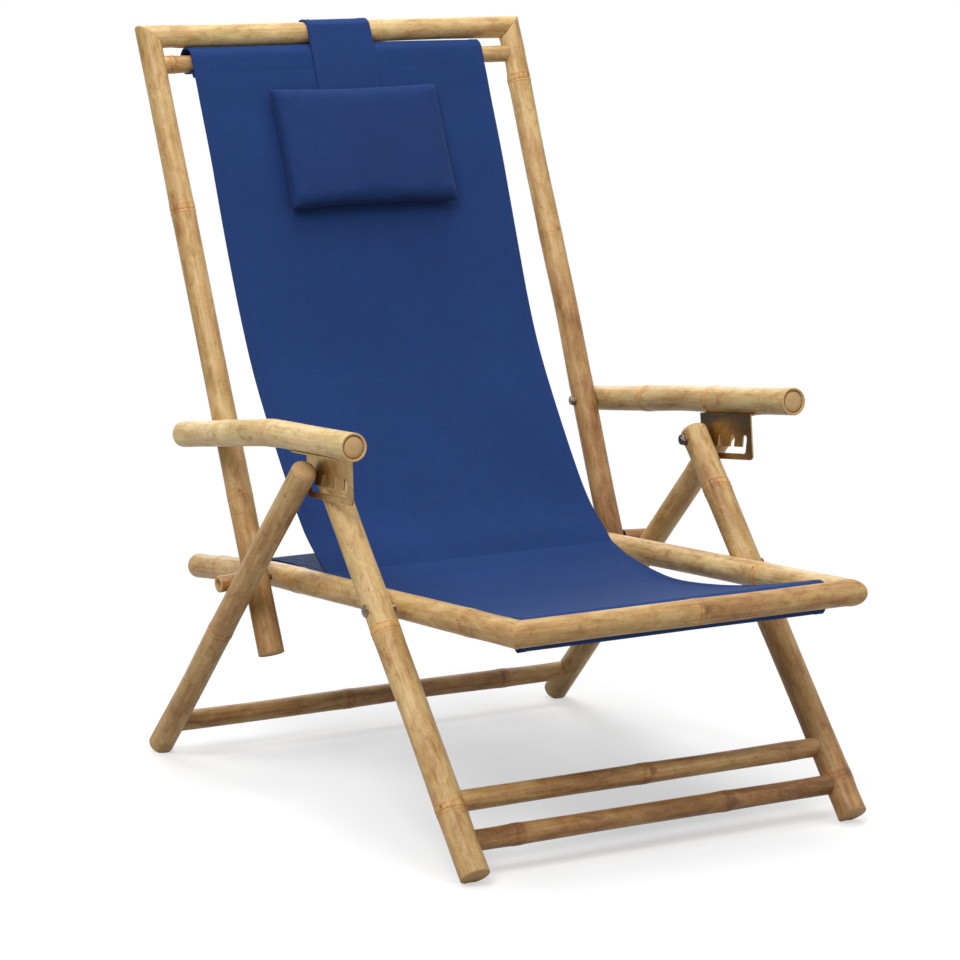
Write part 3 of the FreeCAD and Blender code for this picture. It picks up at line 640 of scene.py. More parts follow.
def weave_group():
    """Plain weave read from the cloth's own map: warp and weft that pass over each other, with
    slubs, a slow drift of the dye and paler wear."""
    n, given, out = new_group(
        "plain_weave",
        {"Dark": linear(34, 54, 100), "Light": linear(48, 74, 130), "Threads per metre": 1500.0,
         "Wear": 0.25},
        {"Color": "Color", "Roughness": "Float", "Height": "Float"})
    uv = n.add("ShaderNodeUVMap", uv_map="cloth").outputs[0]
    split = n.add("ShaderNodeSeparateXYZ", {0: uv}).outputs
    turn = n.math("MULTIPLY", given["Threads per metre"], math.pi)
    warp = n.math("SINE", n.math("MULTIPLY", split[0], turn))
    weft = n.math("SINE", n.math("MULTIPLY", split[1], turn))
    over = n.math("MULTIPLY", warp, weft)
    height = n.math("MULTIPLY_ADD", over, 0.5, 0.5)
    slub = n.noise(n.stretch(uv, (1, 0.05, 1)), 900, 2.0)
    slub_across = n.noise(n.stretch(uv, (0.05, 1, 1)), 900, 2.0)
    dye = n.noise(uv, 9, 3.0, 0.5)
    worn = n.noise(uv, 60, 4.0, 0.6)
    share = n.math("MULTIPLY_ADD", n.math("SUBTRACT", slub, 0.5), 0.8, 0.35)
    share = n.math("MULTIPLY_ADD", n.math("SUBTRACT", slub_across, 0.5), 0.8, share)
    share = n.math("MULTIPLY_ADD", n.math("SUBTRACT", dye, 0.5), 0.5, share)
    share = n.math("MULTIPLY_ADD", height, 0.18, share)
    wear = n.math("MULTIPLY", n.math("SUBTRACT", worn, 0.5), given["Wear"])
    share = n.math("MULTIPLY_ADD", wear, 1.0, share, clamp=True)
    gap = n.math("ABSOLUTE", n.math("SUBTRACT", n.attribute("stitch_gap"), 0.01))
    dash = n.math("SINE", n.math("MULTIPLY", n.attribute("stitch_run"), 2 * math.pi / STITCH_LENGTH))
    stitch = n.math("MULTIPLY", n.range(gap, 0.00025, 0.00055, 1.0, 0.0), n.range(dash, -0.55, -0.25))
    color = n.mix(share, given["Dark"], given["Light"])
    color = n.mix(n.range(gap, 0.0006, 0.0024, 0.22, 0.0), color, given["Dark"])
    color = n.mix(n.math("MULTIPLY", stitch, 0.4), color, linear(58, 84, 140))
    n.feed(out["Color"], color)
    n.feed(out["Roughness"], n.range(worn, 0.3, 0.7, 0.78, 0.90))
    height = n.math("MULTIPLY_ADD", slub, 0.4, height)
    n.feed(out["Height"], n.math("MULTIPLY_ADD", stitch, 2.0, height))
    return n.tree


def canvas(name, tree, dark, light):
    """Woven canvas with a soft sheen."""
    material, n, shader = new_material(name)
    group = n.add("ShaderNodeGroup", node_tree=tree)
    group.inputs["Dark"].default_value = linear(*dark)
    group.inputs["Light"].default_value = linear(*light)
    bump = n.add("ShaderNodeBump", {"Height": group.outputs["Height"]})
    bump.inputs["Strength"].default_value = 0.30
    bump.inputs["Distance"].default_value = 0.0003
    n.feed(shader.inputs["Base Color"], group.outputs["Color"])
    n.feed(shader.inputs["Roughness"], group.outputs["Roughness"])
    n.feed(shader.inputs["Normal"], bump.outputs["Normal"])
    shader.inputs["Specular IOR Level"].default_value = 0.18
    shader.inputs["Specular Tint"].default_value = (0.75, 0.88, 1.0, 1)
    shader.inputs["Sheen Weight"].default_value = 0.06
    shader.inputs["Sheen Tint"].default_value = (0.65, 0.82, 1.0, 1)
    shader.inputs["Sheen Roughness"].default_value = 0.40
    return material


def metal_group():
    """Plated metal: drifting tint, fine scratches, and bare bright metal where a noise wears it."""
    n, given, out = new_group(
        "worn_plating",
        {"Plating": (0.5, 0.35, 0.15, 1.0), "Stain": (0.3, 0.2, 0.1, 1.0), "Bare": (0.7, 0.68, 0.62, 1.0),
         "Wear": 0.2},
        {"Color": "Color", "Roughness": "Float", "Height": "Float"})
    place = n.add("ShaderNodeTexCoord").outputs["Object"]
    drift = n.noise(place, 60, 3.0, 0.6)
    scratch = n.noise(n.stretch(place, (1, 0.06, 1)), 1800, 2.0, 0.5)
    worn = n.noise(place, 260, 4.0, 0.65)
    color = n.mix(n.range(drift, 0.25, 0.75), given["Plating"], given["Stain"])
    wear = n.math("MULTIPLY", n.range(worn, 0.60, 0.74), given["Wear"])
    n.feed(out["Color"], n.mix(wear, color, given["Bare"]))
    n.feed(out["Roughness"], n.math("MULTIPLY_ADD", n.math("SUBTRACT", scratch, 0.5), 0.25, 0.36))
    n.feed(out["Height"], n.math("MULTIPLY_ADD", worn, 0.3, n.math("MULTIPLY", scratch, 0.4)))
    return n.tree


def plated(name, tree, plating, stain, wear):
    """Plated steel in one set of colours."""
    material, n, shader = new_material(name)
    group = n.add("ShaderNodeGroup", node_tree=tree)
    group.inputs["Plating"].default_value = linear(*plating)
    group.inputs["Stain"].default_value = linear(*stain)
    group.inputs["Wear"].default_value = wear
    bump = n.add("ShaderNodeBump", {"Height": group.outputs["Height"]})
    bump.inputs["Strength"].default_value = 0.15
    bump.inputs["Distance"].default_value = 0.0002
    n.feed(shader.inputs["Base Color"], group.outputs["Color"])
    n.feed(shader.inputs["Roughness"], group.outputs["Roughness"])
    n.feed(shader.inputs["Normal"], bump.outputs["Normal"])
    shader.inputs["Metallic"].default_value = 1.0
    return material


skin = bamboo_group()
weave = weave_group()
plating = metal_group()
finishes = {
    "leg_bamboo": bamboo("leg_bamboo_skin", skin, 0.45, 0.45),
    "seat_bamboo": bamboo("seat_bamboo_skin", skin, 0.60, 0.45),
    "back_bamboo": bamboo("back_bamboo_skin", skin, 0.95, 0.30),
    "armrest_bamboo": bamboo("armrest_bamboo_skin", skin, 0.65, 0.40),
    "stretcher_bamboo": bamboo("stretcher_bamboo_skin", skin, 0.25, 0.45),
    "bar_bamboo": bamboo("bar_bamboo_skin", skin, 0.25, 0.35),
    "peg_bamboo": bamboo("peg_bamboo_skin", skin, 0.20, 0.45),
    "sling_cloth": canvas("sling_canvas", weave, (21, 43, 86), (31, 58, 114)),
    "pillow_cloth": canvas("pillow_canvas", weave, (20, 40, 82), (29, 54, 107)),
    "strap_cloth": canvas("strap_canvas", weave, (22, 44, 88), (33, 59, 115)),
    "plate_steel": plated("plate_zinc", plating, (172, 143, 92), (146, 116, 70), 0.35),
    "bolt_steel": plated("bolt_zinc", plating, (150, 136, 118), (84, 70, 58), 0.6),
    "screw_steel": plated("screw_zinc", plating, (190, 160, 104), (130, 100, 60), 0.5),
}


def finish(piece, material_slot, nodes=(), body=None):
    """Give a piece its finish, the solids it stands for and the body it rides on."""
    piece.data.materials.clear()
    piece.data.materials.append(finishes[material_slot])
    if nodes:
        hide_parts(*nodes)
    if body:
        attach(piece, body)
    return piece


def make_legs():
    """Front and rear legs with their stretchers."""
    front_top = at(0, LEG_PIVOT) + LEG_UP_FRONT * LEG_TOP_PAST_PIVOT
    rear_top = at(0, LEG_PIVOT) + LEG_UP_REAR * LEG_TOP_PAST_PIVOT
    front_rings = {"right": {0.084: 0.9, 0.320: 0.8}, "left": {0.046: 0.9, 0.265: 0.4, 0.463: 1.0}}
    rear_rings = {"right": {0.258: 0.7}, "left": {0.235: 0.5, 0.506: 0.8}}
    # Colours per culm, from straw to dark brown, mix each culm's own colour with painted shade: culms that
    # lie in shadow are set darker.
    front_tones_and_shade = {"right": (0.46, 0.48), "left": (0.64, 0.42)}
    rear_tones_and_shade = {"right": (0.46, 0.38), "left": (0.50, 0.46)}
    for seed, (side, sign) in enumerate(SIDES.items()):
        across = X_WAY * sign
        leg = culm("front_leg_culm_" + side,
                   [at(0, FRONT_FOOT) + across * FRONT_LEG_X, front_top + across * FRONT_LEG_X],
                   (FRONT_LEG_R + 0.0003, FRONT_LEG_R - 0.0005), front_rings[side], front_tones_and_shade[side],
                   ("cut", "rounded"), seed=11 + seed, floor=True)
        finish(leg, "leg_bamboo", ["front_leg_" + side], "front_leg_frame")
        leg = culm("rear_leg_culm_" + side,
                   [at(0, REAR_FOOT) + across * REAR_LEG_X, rear_top + across * REAR_LEG_X],
                   (REAR_LEG_R + 0.0002, REAR_LEG_R - 0.0004), rear_rings[side], rear_tones_and_shade[side],
                   ("cut", "rounded"), seed=13 + seed, floor=True)
        finish(leg, "leg_bamboo", ["rear_leg_" + side], "rear_leg_frame")
    # The stretchers' darker colours are partly painted shade.
    for name, distance, rings, tones_and_shade, bud_side, seed in (
            ("upper", UPPER_STRETCHER_FROM_FOOT, {0.263: 0.8, 0.470: 0.3}, (0.54, 0.62), FACING_FRONT, 15),
            ("lower", LOWER_STRETCHER_FROM_FOOT, {0.067: 0.9, 0.358: 0.8}, (0.80, 0.86),
             FACING_FRONT + math.pi, 16)):
        place = towards(FRONT_FOOT, LEG_PIVOT, distance)
        bar = culm("front_stretcher_culm_" + name, [at(-FRONT_LEG_X, place), at(FRONT_LEG_X, place)],
                   (FRONT_STRETCHER_R + 0.0004, FRONT_STRETCHER_R - 0.0004), rings, tones_and_shade, seed=seed,
                   bud_side=bud_side, bud_size=BRANCH_BUD)
        finish(bar, "stretcher_bamboo", ["front_stretcher_" + name], "front_leg_frame")
    place = towards(REAR_FOOT, LEG_PIVOT, REAR_STRETCHER_FROM_FOOT)
    bar = culm("rear_stretcher_culm", [at(-REAR_LEG_X, place), at(REAR_LEG_X, place)],
               (REAR_STRETCHER_R + 0.0003, REAR_STRETCHER_R - 0.0003), {0.255: 0.8, 0.496: 0.9},
               (0.52, 0.64), seed=17)
    finish(bar, "stretcher_bamboo", ["rear_stretcher"], "rear_leg_frame")


def make_seat_frame():
    """Seat rails mitred to the front rail, and the bars in the two sleeves of the seat's cloth."""
    rail_way = unit(at(0, SEAT_RAIL_BEND) - at(0, SEAT_FRONT_CORNER))
    rail_rings = {"right": {0.105: 0.5, 0.527: 0.8, 0.739: 0.9}, "left": {0.176: 1.0, 0.455: 0.3}}
    # Colours per rail, here and for the front rail, mix its own colour with painted shade.
    rail_tones_and_shade = {"right": (0.48, 0.38), "left": (0.34, 0.55)}
    for seed, (side, sign) in enumerate(SIDES.items()):
        x = sign * SEAT_RAIL_X
        rail = culm("seat_rail_culm_" + side,
                    [at(x, SEAT_FRONT_CORNER), at(x, SEAT_RAIL_BEND), at(x, SEAT_RAIL_REAR)],
                    (SEAT_RAIL_R, SEAT_RAIL_R - 0.0008), rail_rings[side], rail_tones_and_shade[side],
                    ("cut", "rounded"), (rail_way + X_WAY * sign, None), seed=21 + seed,
                    bud_side=math.pi + 0.3)
        finish(rail, "seat_bamboo", ["seat_rail_" + side], "seat_frame")
    rail = culm("seat_front_rail_culm",
                [at(-SEAT_RAIL_X, SEAT_FRONT_CORNER), at(SEAT_RAIL_X, SEAT_FRONT_CORNER)],
                (FRONT_RAIL_R + 0.0004, FRONT_RAIL_R + 0.0002), {0.236: 0.6}, (0.60, 0.52),
                ("cut", "cut"), (X_WAY - rail_way, X_WAY + rail_way), seed=23,
                bud_side=FACING_FRONT, bud_size=BRANCH_BUD)
    finish(rail, "seat_bamboo", ["seat_front_rail"], "seat_frame")
    bar = culm("seat_sling_bar_culm", [at(-SEAT_RAIL_X, SEAT_BAR), at(SEAT_RAIL_X, SEAT_BAR)],
               (SLING_BAR_R, SLING_BAR_R), {}, (0.5, 0.5), seed=24, crooked=0)
    finish(bar, "bar_bamboo", ["seat_sling_bar"], "seat_frame")
    bar = culm("seat_rear_bar_culm", [at(-SEAT_RAIL_X, REAR_BAR), at(SEAT_RAIL_X, REAR_BAR)],
               (SLING_BAR_R, SLING_BAR_R), {}, (0.45, 0.5), seed=25, crooked=0)
    finish(bar, "bar_bamboo", body="seat_frame")


def make_back_frame():
    """Posts mitred to the top rail, and the bar in the top sleeve of the sling."""
    post_rings = {"right": {0.205: 0.4, 0.582: 0.9}, "left": {0.310: 0.3, 0.520: 0.4, 0.738: 1.0}}
    # Colours per post and for the top rail mix their own colour with painted shade; the left post is darker
    # towards its foot.
    post_tones_and_shade = {"right": (0.60, 0.42), "left": (0.88, 0.40)}
    for seed, (side, sign) in enumerate(SIDES.items()):
        foot = at(sign * POST_BOTTOM_X, POST_BOTTOM)
        corner = at(sign * POST_TOP_X, POST_TOP)
        up = unit(corner - foot)
        post = culm("back_post_culm_" + side, [foot, corner], (POST_R, POST_R - 0.0012), post_rings[side],
                    post_tones_and_shade[side], ("hollow", "cut"), (None, up - X_WAY * sign), seed=31 + seed)
        finish(post, "back_bamboo", ["back_post_" + side], "back_frame")
    ways = [unit(at(sign * POST_TOP_X, POST_TOP) - at(sign * POST_BOTTOM_X, POST_BOTTOM))
            for sign in SIDES.values()]
    rail = culm("top_rail_culm", [at(-POST_TOP_X, POST_TOP), at(POST_TOP_X, POST_TOP)],
                (TOP_RAIL_R + 0.0005, TOP_RAIL_R + 0.0003), {0.042: 0.2, 0.330: 0.3}, (0.30, 0.42),
                ("cut", "cut"), (X_WAY + ways[0], X_WAY - ways[1]), seed=33)
    finish(rail, "back_bamboo", ["top_rail"], "back_frame")
    bar = culm("back_sling_bar_culm", [at(-POST_TOP_X, BACK_BAR), at(POST_TOP_X, BACK_BAR)],
               (SLING_BAR_R, SLING_BAR_R), {0.021: 1.0}, (0.45, 0.5), seed=34, crooked=0)
    finish(bar, "bar_bamboo", ["back_sling_bar"], "back_frame")


def make_arms():
    """Armrests with an open front end and a rounded rear end."""
    arm_rings = {"right": {0.202: 0.5, 0.330: 0.5}, "left": {0.172: 0.9, 0.328: 1.0}}
    # Colours per armrest mix its own colour with painted shade, as for the other culms.
    arm_tones_and_shade = {"right": (0.16, 0.10), "left": (0.16, 0.28)}
    for seed, (side, sign) in enumerate(SIDES.items()):
        arm = culm("armrest_culm_" + side, [at(sign * ARM_X, place) for place in arm_places(side)],
                   (ARM_R + 0.0002, ARM_R - 0.0004), arm_rings[side], arm_tones_and_shade[side],
                   ("hollow", "rounded"), seed=43 + seed)
        finish(arm, "armrest_bamboo", ["armrest_" + side], "arms")


def make_pegs():
    """Short bamboo tubes on the back pivot that rest on the rear legs."""
    pegs = []
    start = post_x(BACK_PIVOT) + POST_R + 0.0016
    for seed, sign in enumerate(SIDES.values()):
        outer = at(sign * PEG_END_X, BACK_PIVOT) - UP_WAY * 0.0022
        pegs.append(culm("peg", [outer, at(sign * start, BACK_PIVOT) - UP_WAY * 0.0004], (PEG_R, PEG_R),
                         {}, (0.70, 0.85), ("bore", "cut"), seed=51 + seed, crooked=0))
    finish(join("rest_peg_tubes", pegs), "peg_bamboo", ["rest_pegs"], "back_pivot")


def dome_profile(radius, height, base=0.0):
    """Low round head from its flat side at base to the middle of its top."""
    turn = np.linspace(0, math.pi / 2, 9)
    rows = [(base, 0.0), (base, radius * 0.7), (base, radius - 0.0003), (base + 0.0004, radius)]
    rows += [(base + 0.0006 + (height - 0.0006) * math.sin(t), radius * math.cos(t)) for t in turn[:-1]]
    return rows + [(base + height, 0.0)]


def nut_profile(radius, height, base=0.0):
    """Nut with a chamfered rim on both faces; the hexagon trims the middle."""
    chamfer = radius * 0.13
    return [(base, 0.0), (base, radius * 0.60), (base, radius - chamfer), (base + chamfer * 0.5, radius),
            (base + height / 2, radius), (base + height - chamfer * 0.5, radius),
            (base + height, radius - chamfer), (base + height, radius * 0.60), (base + height, 0.0)]


def shank_profile(radius, start, end):
    """Bolt shank with a small chamfer at each end."""
    return [(start, 0.0), (start, radius * 0.6), (start, radius - 0.0005), (start + 0.0005, radius),
            ((start + end) / 2, radius), (end - 0.0005, radius), (end, radius - 0.0005), (end, radius * 0.6),
            (end, 0.0)]


def washer_profile(radius, thickness, base=0.0):
    """Flat washer with a small chamfer at each rim."""
    return [(base, 0.0), (base, radius * 0.5), (base, radius - 0.0003), (base + 0.0003, radius),
            (base + thickness - 0.0003, radius), (base + thickness, radius - 0.0003),
            (base + thickness, radius * 0.5), (base + thickness, 0.0)]


def make_bolts():
    """Bolts with their heads, nuts and washers at the four pivots of each side. The leg bolt is left
    open where the notched plate passes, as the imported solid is."""
    groups = {"leg": [], "seat": [], "back": [], "arm": []}
    for sign in SIDES.values():
        inwards = X_WAY * -sign
        inner = at(sign * (FRONT_LEG_X - FRONT_LEG_R), LEG_PIVOT)
        groups["leg"] += [
            turned("washer", [inner], inwards, washer_profile(0.0078, 0.0012)),
            turned("nut", [inner], inwards, nut_profile(0.0072, 0.0045, 0.0012), 48, 0.0125),
            turned("shank", [inner], inwards, shank_profile(BOLT_R, 0.004, 0.0068)),
            turned("shank", [at(0, LEG_PIVOT)], X_WAY * sign,
                   shank_profile(BOLT_R, FRONT_LEG_X + 0.010, PLATE_INNER_X - PLATE_PLAY)),
            turned("shank", [at(0, LEG_PIVOT)], X_WAY * sign,
                   shank_profile(BOLT_R, PLATE_INNER_X + PLATE_THICKNESS + PLATE_PLAY, REAR_LEG_X - 0.010))]
        face = SEAT_RAIL_X - SEAT_RAIL_R - 0.0003
        outer = at(sign * (FRONT_LEG_X + FRONT_LEG_R), SEAT_PIVOT)
        groups["seat"] += [
            turned("shank", [at(0, SEAT_PIVOT)], X_WAY * sign,
                   shank_profile(BOLT_R, face + 0.003, FRONT_LEG_X)),
            turned("head", [outer], -inwards, dome_profile(0.0078, 0.0030, -0.0004))]
        spot = at(sign * face, BACK_PIVOT)
        groups["back"] += [
            turned("head", [spot], inwards, dome_profile(0.0078, 0.0030, -0.0004)),
            turned("washer", [at(sign * (post_x(BACK_PIVOT) + POST_R + 0.0001), BACK_PIVOT)], -inwards,
                   washer_profile(0.0095, 0.0014)),
            turned("shank", [at(0, BACK_PIVOT)], X_WAY * sign,
                   shank_profile(BOLT_R, face, PEG_END_X - 0.004))]
        spot = at(sign * (post_x(ARM_PIVOT) - POST_R - 0.0003), ARM_PIVOT)
        groups["arm"] += [
            turned("washer", [spot], inwards, washer_profile(0.0070, 0.0010, -0.0003)),
            turned("nut", [spot], inwards, nut_profile(0.0066, 0.0036, 0.0007), 48, 0.0115),
            turned("shank", [at(0, ARM_PIVOT)], X_WAY * sign,
                   shank_profile(BOLT_R, abs(spot[0]) - 0.0055, ARM_X + 0.006))]
    finish(join("leg_pivot_bolts", groups["leg"]), "bolt_steel", ["leg_bolts_inner"], "front_leg_frame")
    finish(join("seat_bolts", groups["seat"]), "bolt_steel", ["seat_pivot_bolts"], "front_leg_frame")
    finish(join("back_bolts", groups["back"]), "bolt_steel", ["back_pivot_bolts"], "back_pivot")
    finish(join("arm_bolts", groups["arm"]), "bolt_steel", ["arm_pivot_bolts"], "arm_pivot")


def make_plates():
    """Notched plates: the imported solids, merged, with a small bevel that catches the light."""
    for side in SIDES:
        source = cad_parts["notched_plate_" + side]
        piece = bpy.data.objects.new("notched_plate_steel_" + side, source.data.copy())
        bpy.context.collection.objects.link(piece)
        piece.matrix_world = source.matrix_world
        bpy.context.view_layer.objects.active = piece
        bpy.ops.object.select_all(action="DESELECT")
        piece.select_set(True)
        bpy.ops.object.mode_set(mode="EDIT")
        bpy.ops.mesh.select_all(action="SELECT")
        bpy.ops.mesh.remove_doubles(threshold=0.00002)
        bpy.ops.mesh.dissolve_limited(angle_limit=math.radians(1))
        bpy.ops.object.mode_set(mode="OBJECT")
        bevel = piece.modifiers.new("edges", "BEVEL")
        bevel.width = 0.0003
        bevel.segments = 2
        bevel.limit_method = "ANGLE"
        bevel.angle_limit = math.radians(40)
        piece.data.polygons.foreach_set("use_smooth", np.full(len(piece.data.polygons), False))
        finish(piece, "plate_steel", ["notched_plate_" + side], "arms")


def make_screws():
    """Round-headed screws that hold the plates under the armrests."""
    screws = []
    flat = ARM_OVER_PIVOT - ARM_R + 0.001 - PLATE_THICKNESS
    for side, sign in SIDES.items():
        forward, up = arm_ways(side)
        for ahead in SCREWS_AHEAD:
            seat = at(sign * (ARM_X - 0.001), LEG_PIVOT) + forward * ahead + up * flat
            screws.append(turned("screw", [seat], -up, dome_profile(0.004, 0.0022, -0.0001), 24))
    finish(join("plate_screw_heads", screws), "screw_steel", ["plate_screws"], "arms")


make_legs()
make_seat_frame()
make_back_frame()
make_arms()
make_pegs()
make_bolts()
make_plates()
make_screws()


# Sling

def smooth_line(places, count):
    """Points evenly spaced along a Catmull-Rom curve through (y, z) places."""
    places = np.asarray(places, float)
    padded = np.concatenate([[2 * places[0] - places[1]], places, [2 * places[-1] - places[-2]]])
    t = np.linspace(0, 1, 24, endpoint=False)[None, :, None]
    a, b, c, d = (padded[k:len(padded) - 3 + k, None] for k in range(4))
    curve = 0.5 * (2 * b + (c - a) * t + (2 * a - 5 * b + 4 * c - d) * t ** 2
                   + (3 * b - a - 3 * c + d) * t ** 3)
    curve = np.concatenate([curve.reshape(-1, 2), places[-1:]])
    run = np.concatenate([[0], np.cumsum(np.linalg.norm(np.diff(curve, axis=0), axis=1))])
    spots = np.linspace(0, run[-1], count)
    return np.stack([np.interp(spots, run, curve[:, k]) for k in (0, 1)], -1), run[-1]


def arc_round(bar, radius, start, end, count):
    """Places on a circle round a bar, from one angle to another."""
    turn = np.linspace(start, end, count)
    return [(bar[0] + radius * math.cos(t), bar[1] + radius * math.sin(t)) for t in turn]


def drape(x, height, seed):
    """Slow waves of loose canvas: a sum of sines across and along, unfolded by a seed."""
    rng = np.random.default_rng(seed)
    lift = 0
    for _ in range(9):
        lift = lift + rng.uniform(0.3, 1) * np.sin(rng.uniform(3, 22) * x + rng.uniform(4, 26) * height
                                                   + rng.uniform(0, 6))
    return lift / 3


def thick_sheet(name, line, widths, seams, seed, ripple, fade=0.03, shifts=(0, 0)):
    """Canvas swept along a side-view line, with two layers and a closed rim.

    The middle layer's point (x, s) lies at x across and at s on the line, moved along the line's
    normal by drape(x, s) and by short puckers beside each stitched seam, both fading at the ends,
    and sideways by a shift that goes from one end's value to the other's. The two faces lie half a
    thickness away on either side, more over the hems, and a little less along each stitched seam.
    """
    spots, length = smooth_line(line, 2 + int(math.dist(line[0], line[-1]) / 0.003))
    spots, length = smooth_line(line, 2 + int(length / 0.0028))
    way = np.gradient(spots, axis=0)
    way = way / np.linalg.norm(way, axis=1, keepdims=True)
    normal = np.stack([-way[:, 1], way[:, 0]], -1)
    run = np.linspace(0, length, len(spots))[:, None]
    half = np.interp(run, [0, length], widths)
    shift = np.interp(run, [0, length], shifts)
    inner = np.linspace(HEM_WIDTH + 0.001, 2 * widths[0] - HEM_WIDTH - 0.001, 49)
    edge = np.array([0, 0.0008, 0.0055, 0.0065, 0.0075, HEM_WIDTH])
    x = (np.concatenate([edge, inner, 2 * widths[0] - edge[::-1]]) / widths[0] - 1)[None, :] * half
    fading = np.clip(run / fade, 0, 1) * np.clip((length - run) / fade, 0, 1)
    fading = fading ** 2 * (3 - 2 * fading)
    lift = ripple * drape(x, run, seed) * fading
    for seam in seams:
        pucker = np.sin(270 * x + 3 * np.sin(41 * x + seed)) * np.exp(-np.abs(run - seam) / 0.016)
        lift = lift + 0.3 * ripple * pucker * fading
    from_edge = half - np.abs(x)
    hem = 1.8 - 0.8 * np.clip((from_edge - HEM_WIDTH) / 0.001, 0, 1)
    gaps = [np.abs(from_edge - 0.0065)] + [np.abs(run - seam) + 0 * x for seam in seams]
    gap = np.min(gaps, axis=0)
    thickness = CLOTH_THICKNESS / 2 * hem * (1 - 0.45 * np.exp(-(gap / 0.0008) ** 2))
    rows, columns = x.shape
    layers = []
    for side in (1, -1):
        height = lift + side * thickness
        layers.append(np.stack([x + shift, spots[:, 0:1] + height * normal[:, 0:1],
                                spots[:, 1:2] + height * normal[:, 1:2]], -1).reshape(-1, 3))
    count = rows * columns
    index = np.arange(count).reshape(rows, columns)
    loop = np.concatenate([index[0], index[1:, -1], index[-1, -2::-1], index[-2:0:-1, 0]])
    after = np.roll(loop, -1)
    top = np.array(grid_faces(rows, columns, False))
    rim_faces = np.stack([after, loop, loop + count, after + count], -1)
    faces = np.concatenate([top, top[:, ::-1] + count, rim_faces])
    points = np.concatenate(layers)
    along = np.where(np.argmin(gaps, axis=0) == 0, run + 0 * x, x)
    values = {"stitch_gap": np.tile(gap.ravel() + 0.01, 2), "stitch_run": np.tile(along.ravel(), 2)}
    uv = np.tile(np.stack([x, run + 0 * x], -1).reshape(-1, 2), (2, 1))
    piece = add_piece(name, points, faces.tolist(), values, uv=uv)
    rim = np.isin(np.arange(2 * count) % count, loop)
    ends = np.empty(2 * len(piece.data.edges), np.int32)
    piece.data.edges.foreach_get("vertices", ends)
    ends = ends.reshape(-1, 2)
    sharp = rim[ends].all(1) & (ends[:, 0] // count == ends[:, 1] // count)
    layer = piece.data.attributes.new("sharp_edge", "BOOLEAN", "EDGE")
    layer.data.foreach_set("value", sharp)
    return piece, length


def run_at(line, index):
    """Distance along a line to the place with an index in its list."""
    return smooth_line(line[:index + 1], 2)[1]


def beside(bar, forward, up):
    """Place beside a bar of the back frame: forward of the posts' plane and up along it."""
    return tuple(np.array(bar) + POST_FORWARD[1:] * forward + POST_UP[1:] * up)


def make_sling():
    """Seat, back and tail of one sling. Seat and back meet at a crease and each ends in a loose
    sleeve round its bar; the tail runs on behind the crease and ends round the rear bar."""
    y, z = SEAT_BAR
    seat_line = [(y + 0.0340, z + 0.0033), (y + 0.0220, z + 0.0053), (y + 0.0135, z - 0.0030),
                 (y + 0.0060, z - 0.0200), (y - 0.0020, z - 0.0262), (y - 0.0100, z - 0.0185),
                 (y - 0.0128, z + 0.0000), (y - 0.0090, z + 0.0092), (y, z + 0.0126),
                 (y + 0.0120, z + 0.0106), (y + 0.0240, z + 0.0074), (y + 0.0500, z + 0.0016)]
    seat_line += list(SEAT_LINE) + [CREASE]
    seams = [0.006, run_at(seat_line, 10) + 0.004]
    piece, length = thick_sheet("seat_sling", seat_line, (FRONT_CLOTH_HALF_WIDTH, SEAT_CLOTH_HALF_WIDTH),
                                seams, 3, 0.0010, shifts=(0, CREASE_SHIFT))
    finish(piece, "sling_cloth", ["seat_cloth"])
    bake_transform(piece)

    sleeve = [beside(BACK_BAR, 0.0133 - 0.00002 * k, 0.0005 - 0.001 * k) for k in (38, 26, 12)]
    centre = beside(BACK_BAR, -0.0030, 0.0048)
    turn = math.atan2(*POST_FORWARD[:0:-1])
    sleeve += arc_round(centre, 0.0164, turn, turn - math.radians(205), 12)
    sleeve += [beside(BACK_BAR, -0.0085, -0.0092), beside(BACK_BAR, 0.0010, -0.0126),
               beside(BACK_BAR, 0.0085, -0.0148), beside(BACK_BAR, 0.0108, -0.0222)]
    back_line = [CREASE] + list(BACK_LINE) + sleeve
    _, length = smooth_line(back_line, 2)
    seams = [run_at(back_line, len(BACK_LINE) + 3) - 0.005, length - 0.004]
    piece, length = thick_sheet("back_sling", back_line, (SEAT_CLOTH_HALF_WIDTH, BACK_CLOTH_HALF_WIDTH),
                                seams, 5, 0.0016, shifts=(CREASE_SHIFT, BACK_SHIFT))
    finish(piece, "sling_cloth", ["back_cloth", "bight_cloth"])
    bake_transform(piece)

    tail = [CREASE] + list(TAIL_LINE)
    tail += arc_round(REAR_BAR, SLING_BAR_R + 0.0012, math.radians(80), math.radians(-105), 12)
    tail += [(REAR_BAR[0] - 0.0130, REAR_BAR[1] - 0.0045), (REAR_BAR[0] - 0.0230, REAR_BAR[1] + 0.0085),
             (REAR_BAR[0] - 0.0330, REAR_BAR[1] + 0.0125)]
    _, length = smooth_line(tail, 2)
    piece, length = thick_sheet("sling_tail", tail, (TAIL_HALF_WIDTH, TAIL_HALF_WIDTH),
                                [0.012, length - 0.006], 7, 0.0010, shifts=(CREASE_SHIFT, 0))
    finish(piece, "sling_cloth")
    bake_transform(piece)


make_sling()


# Pillow and its strap

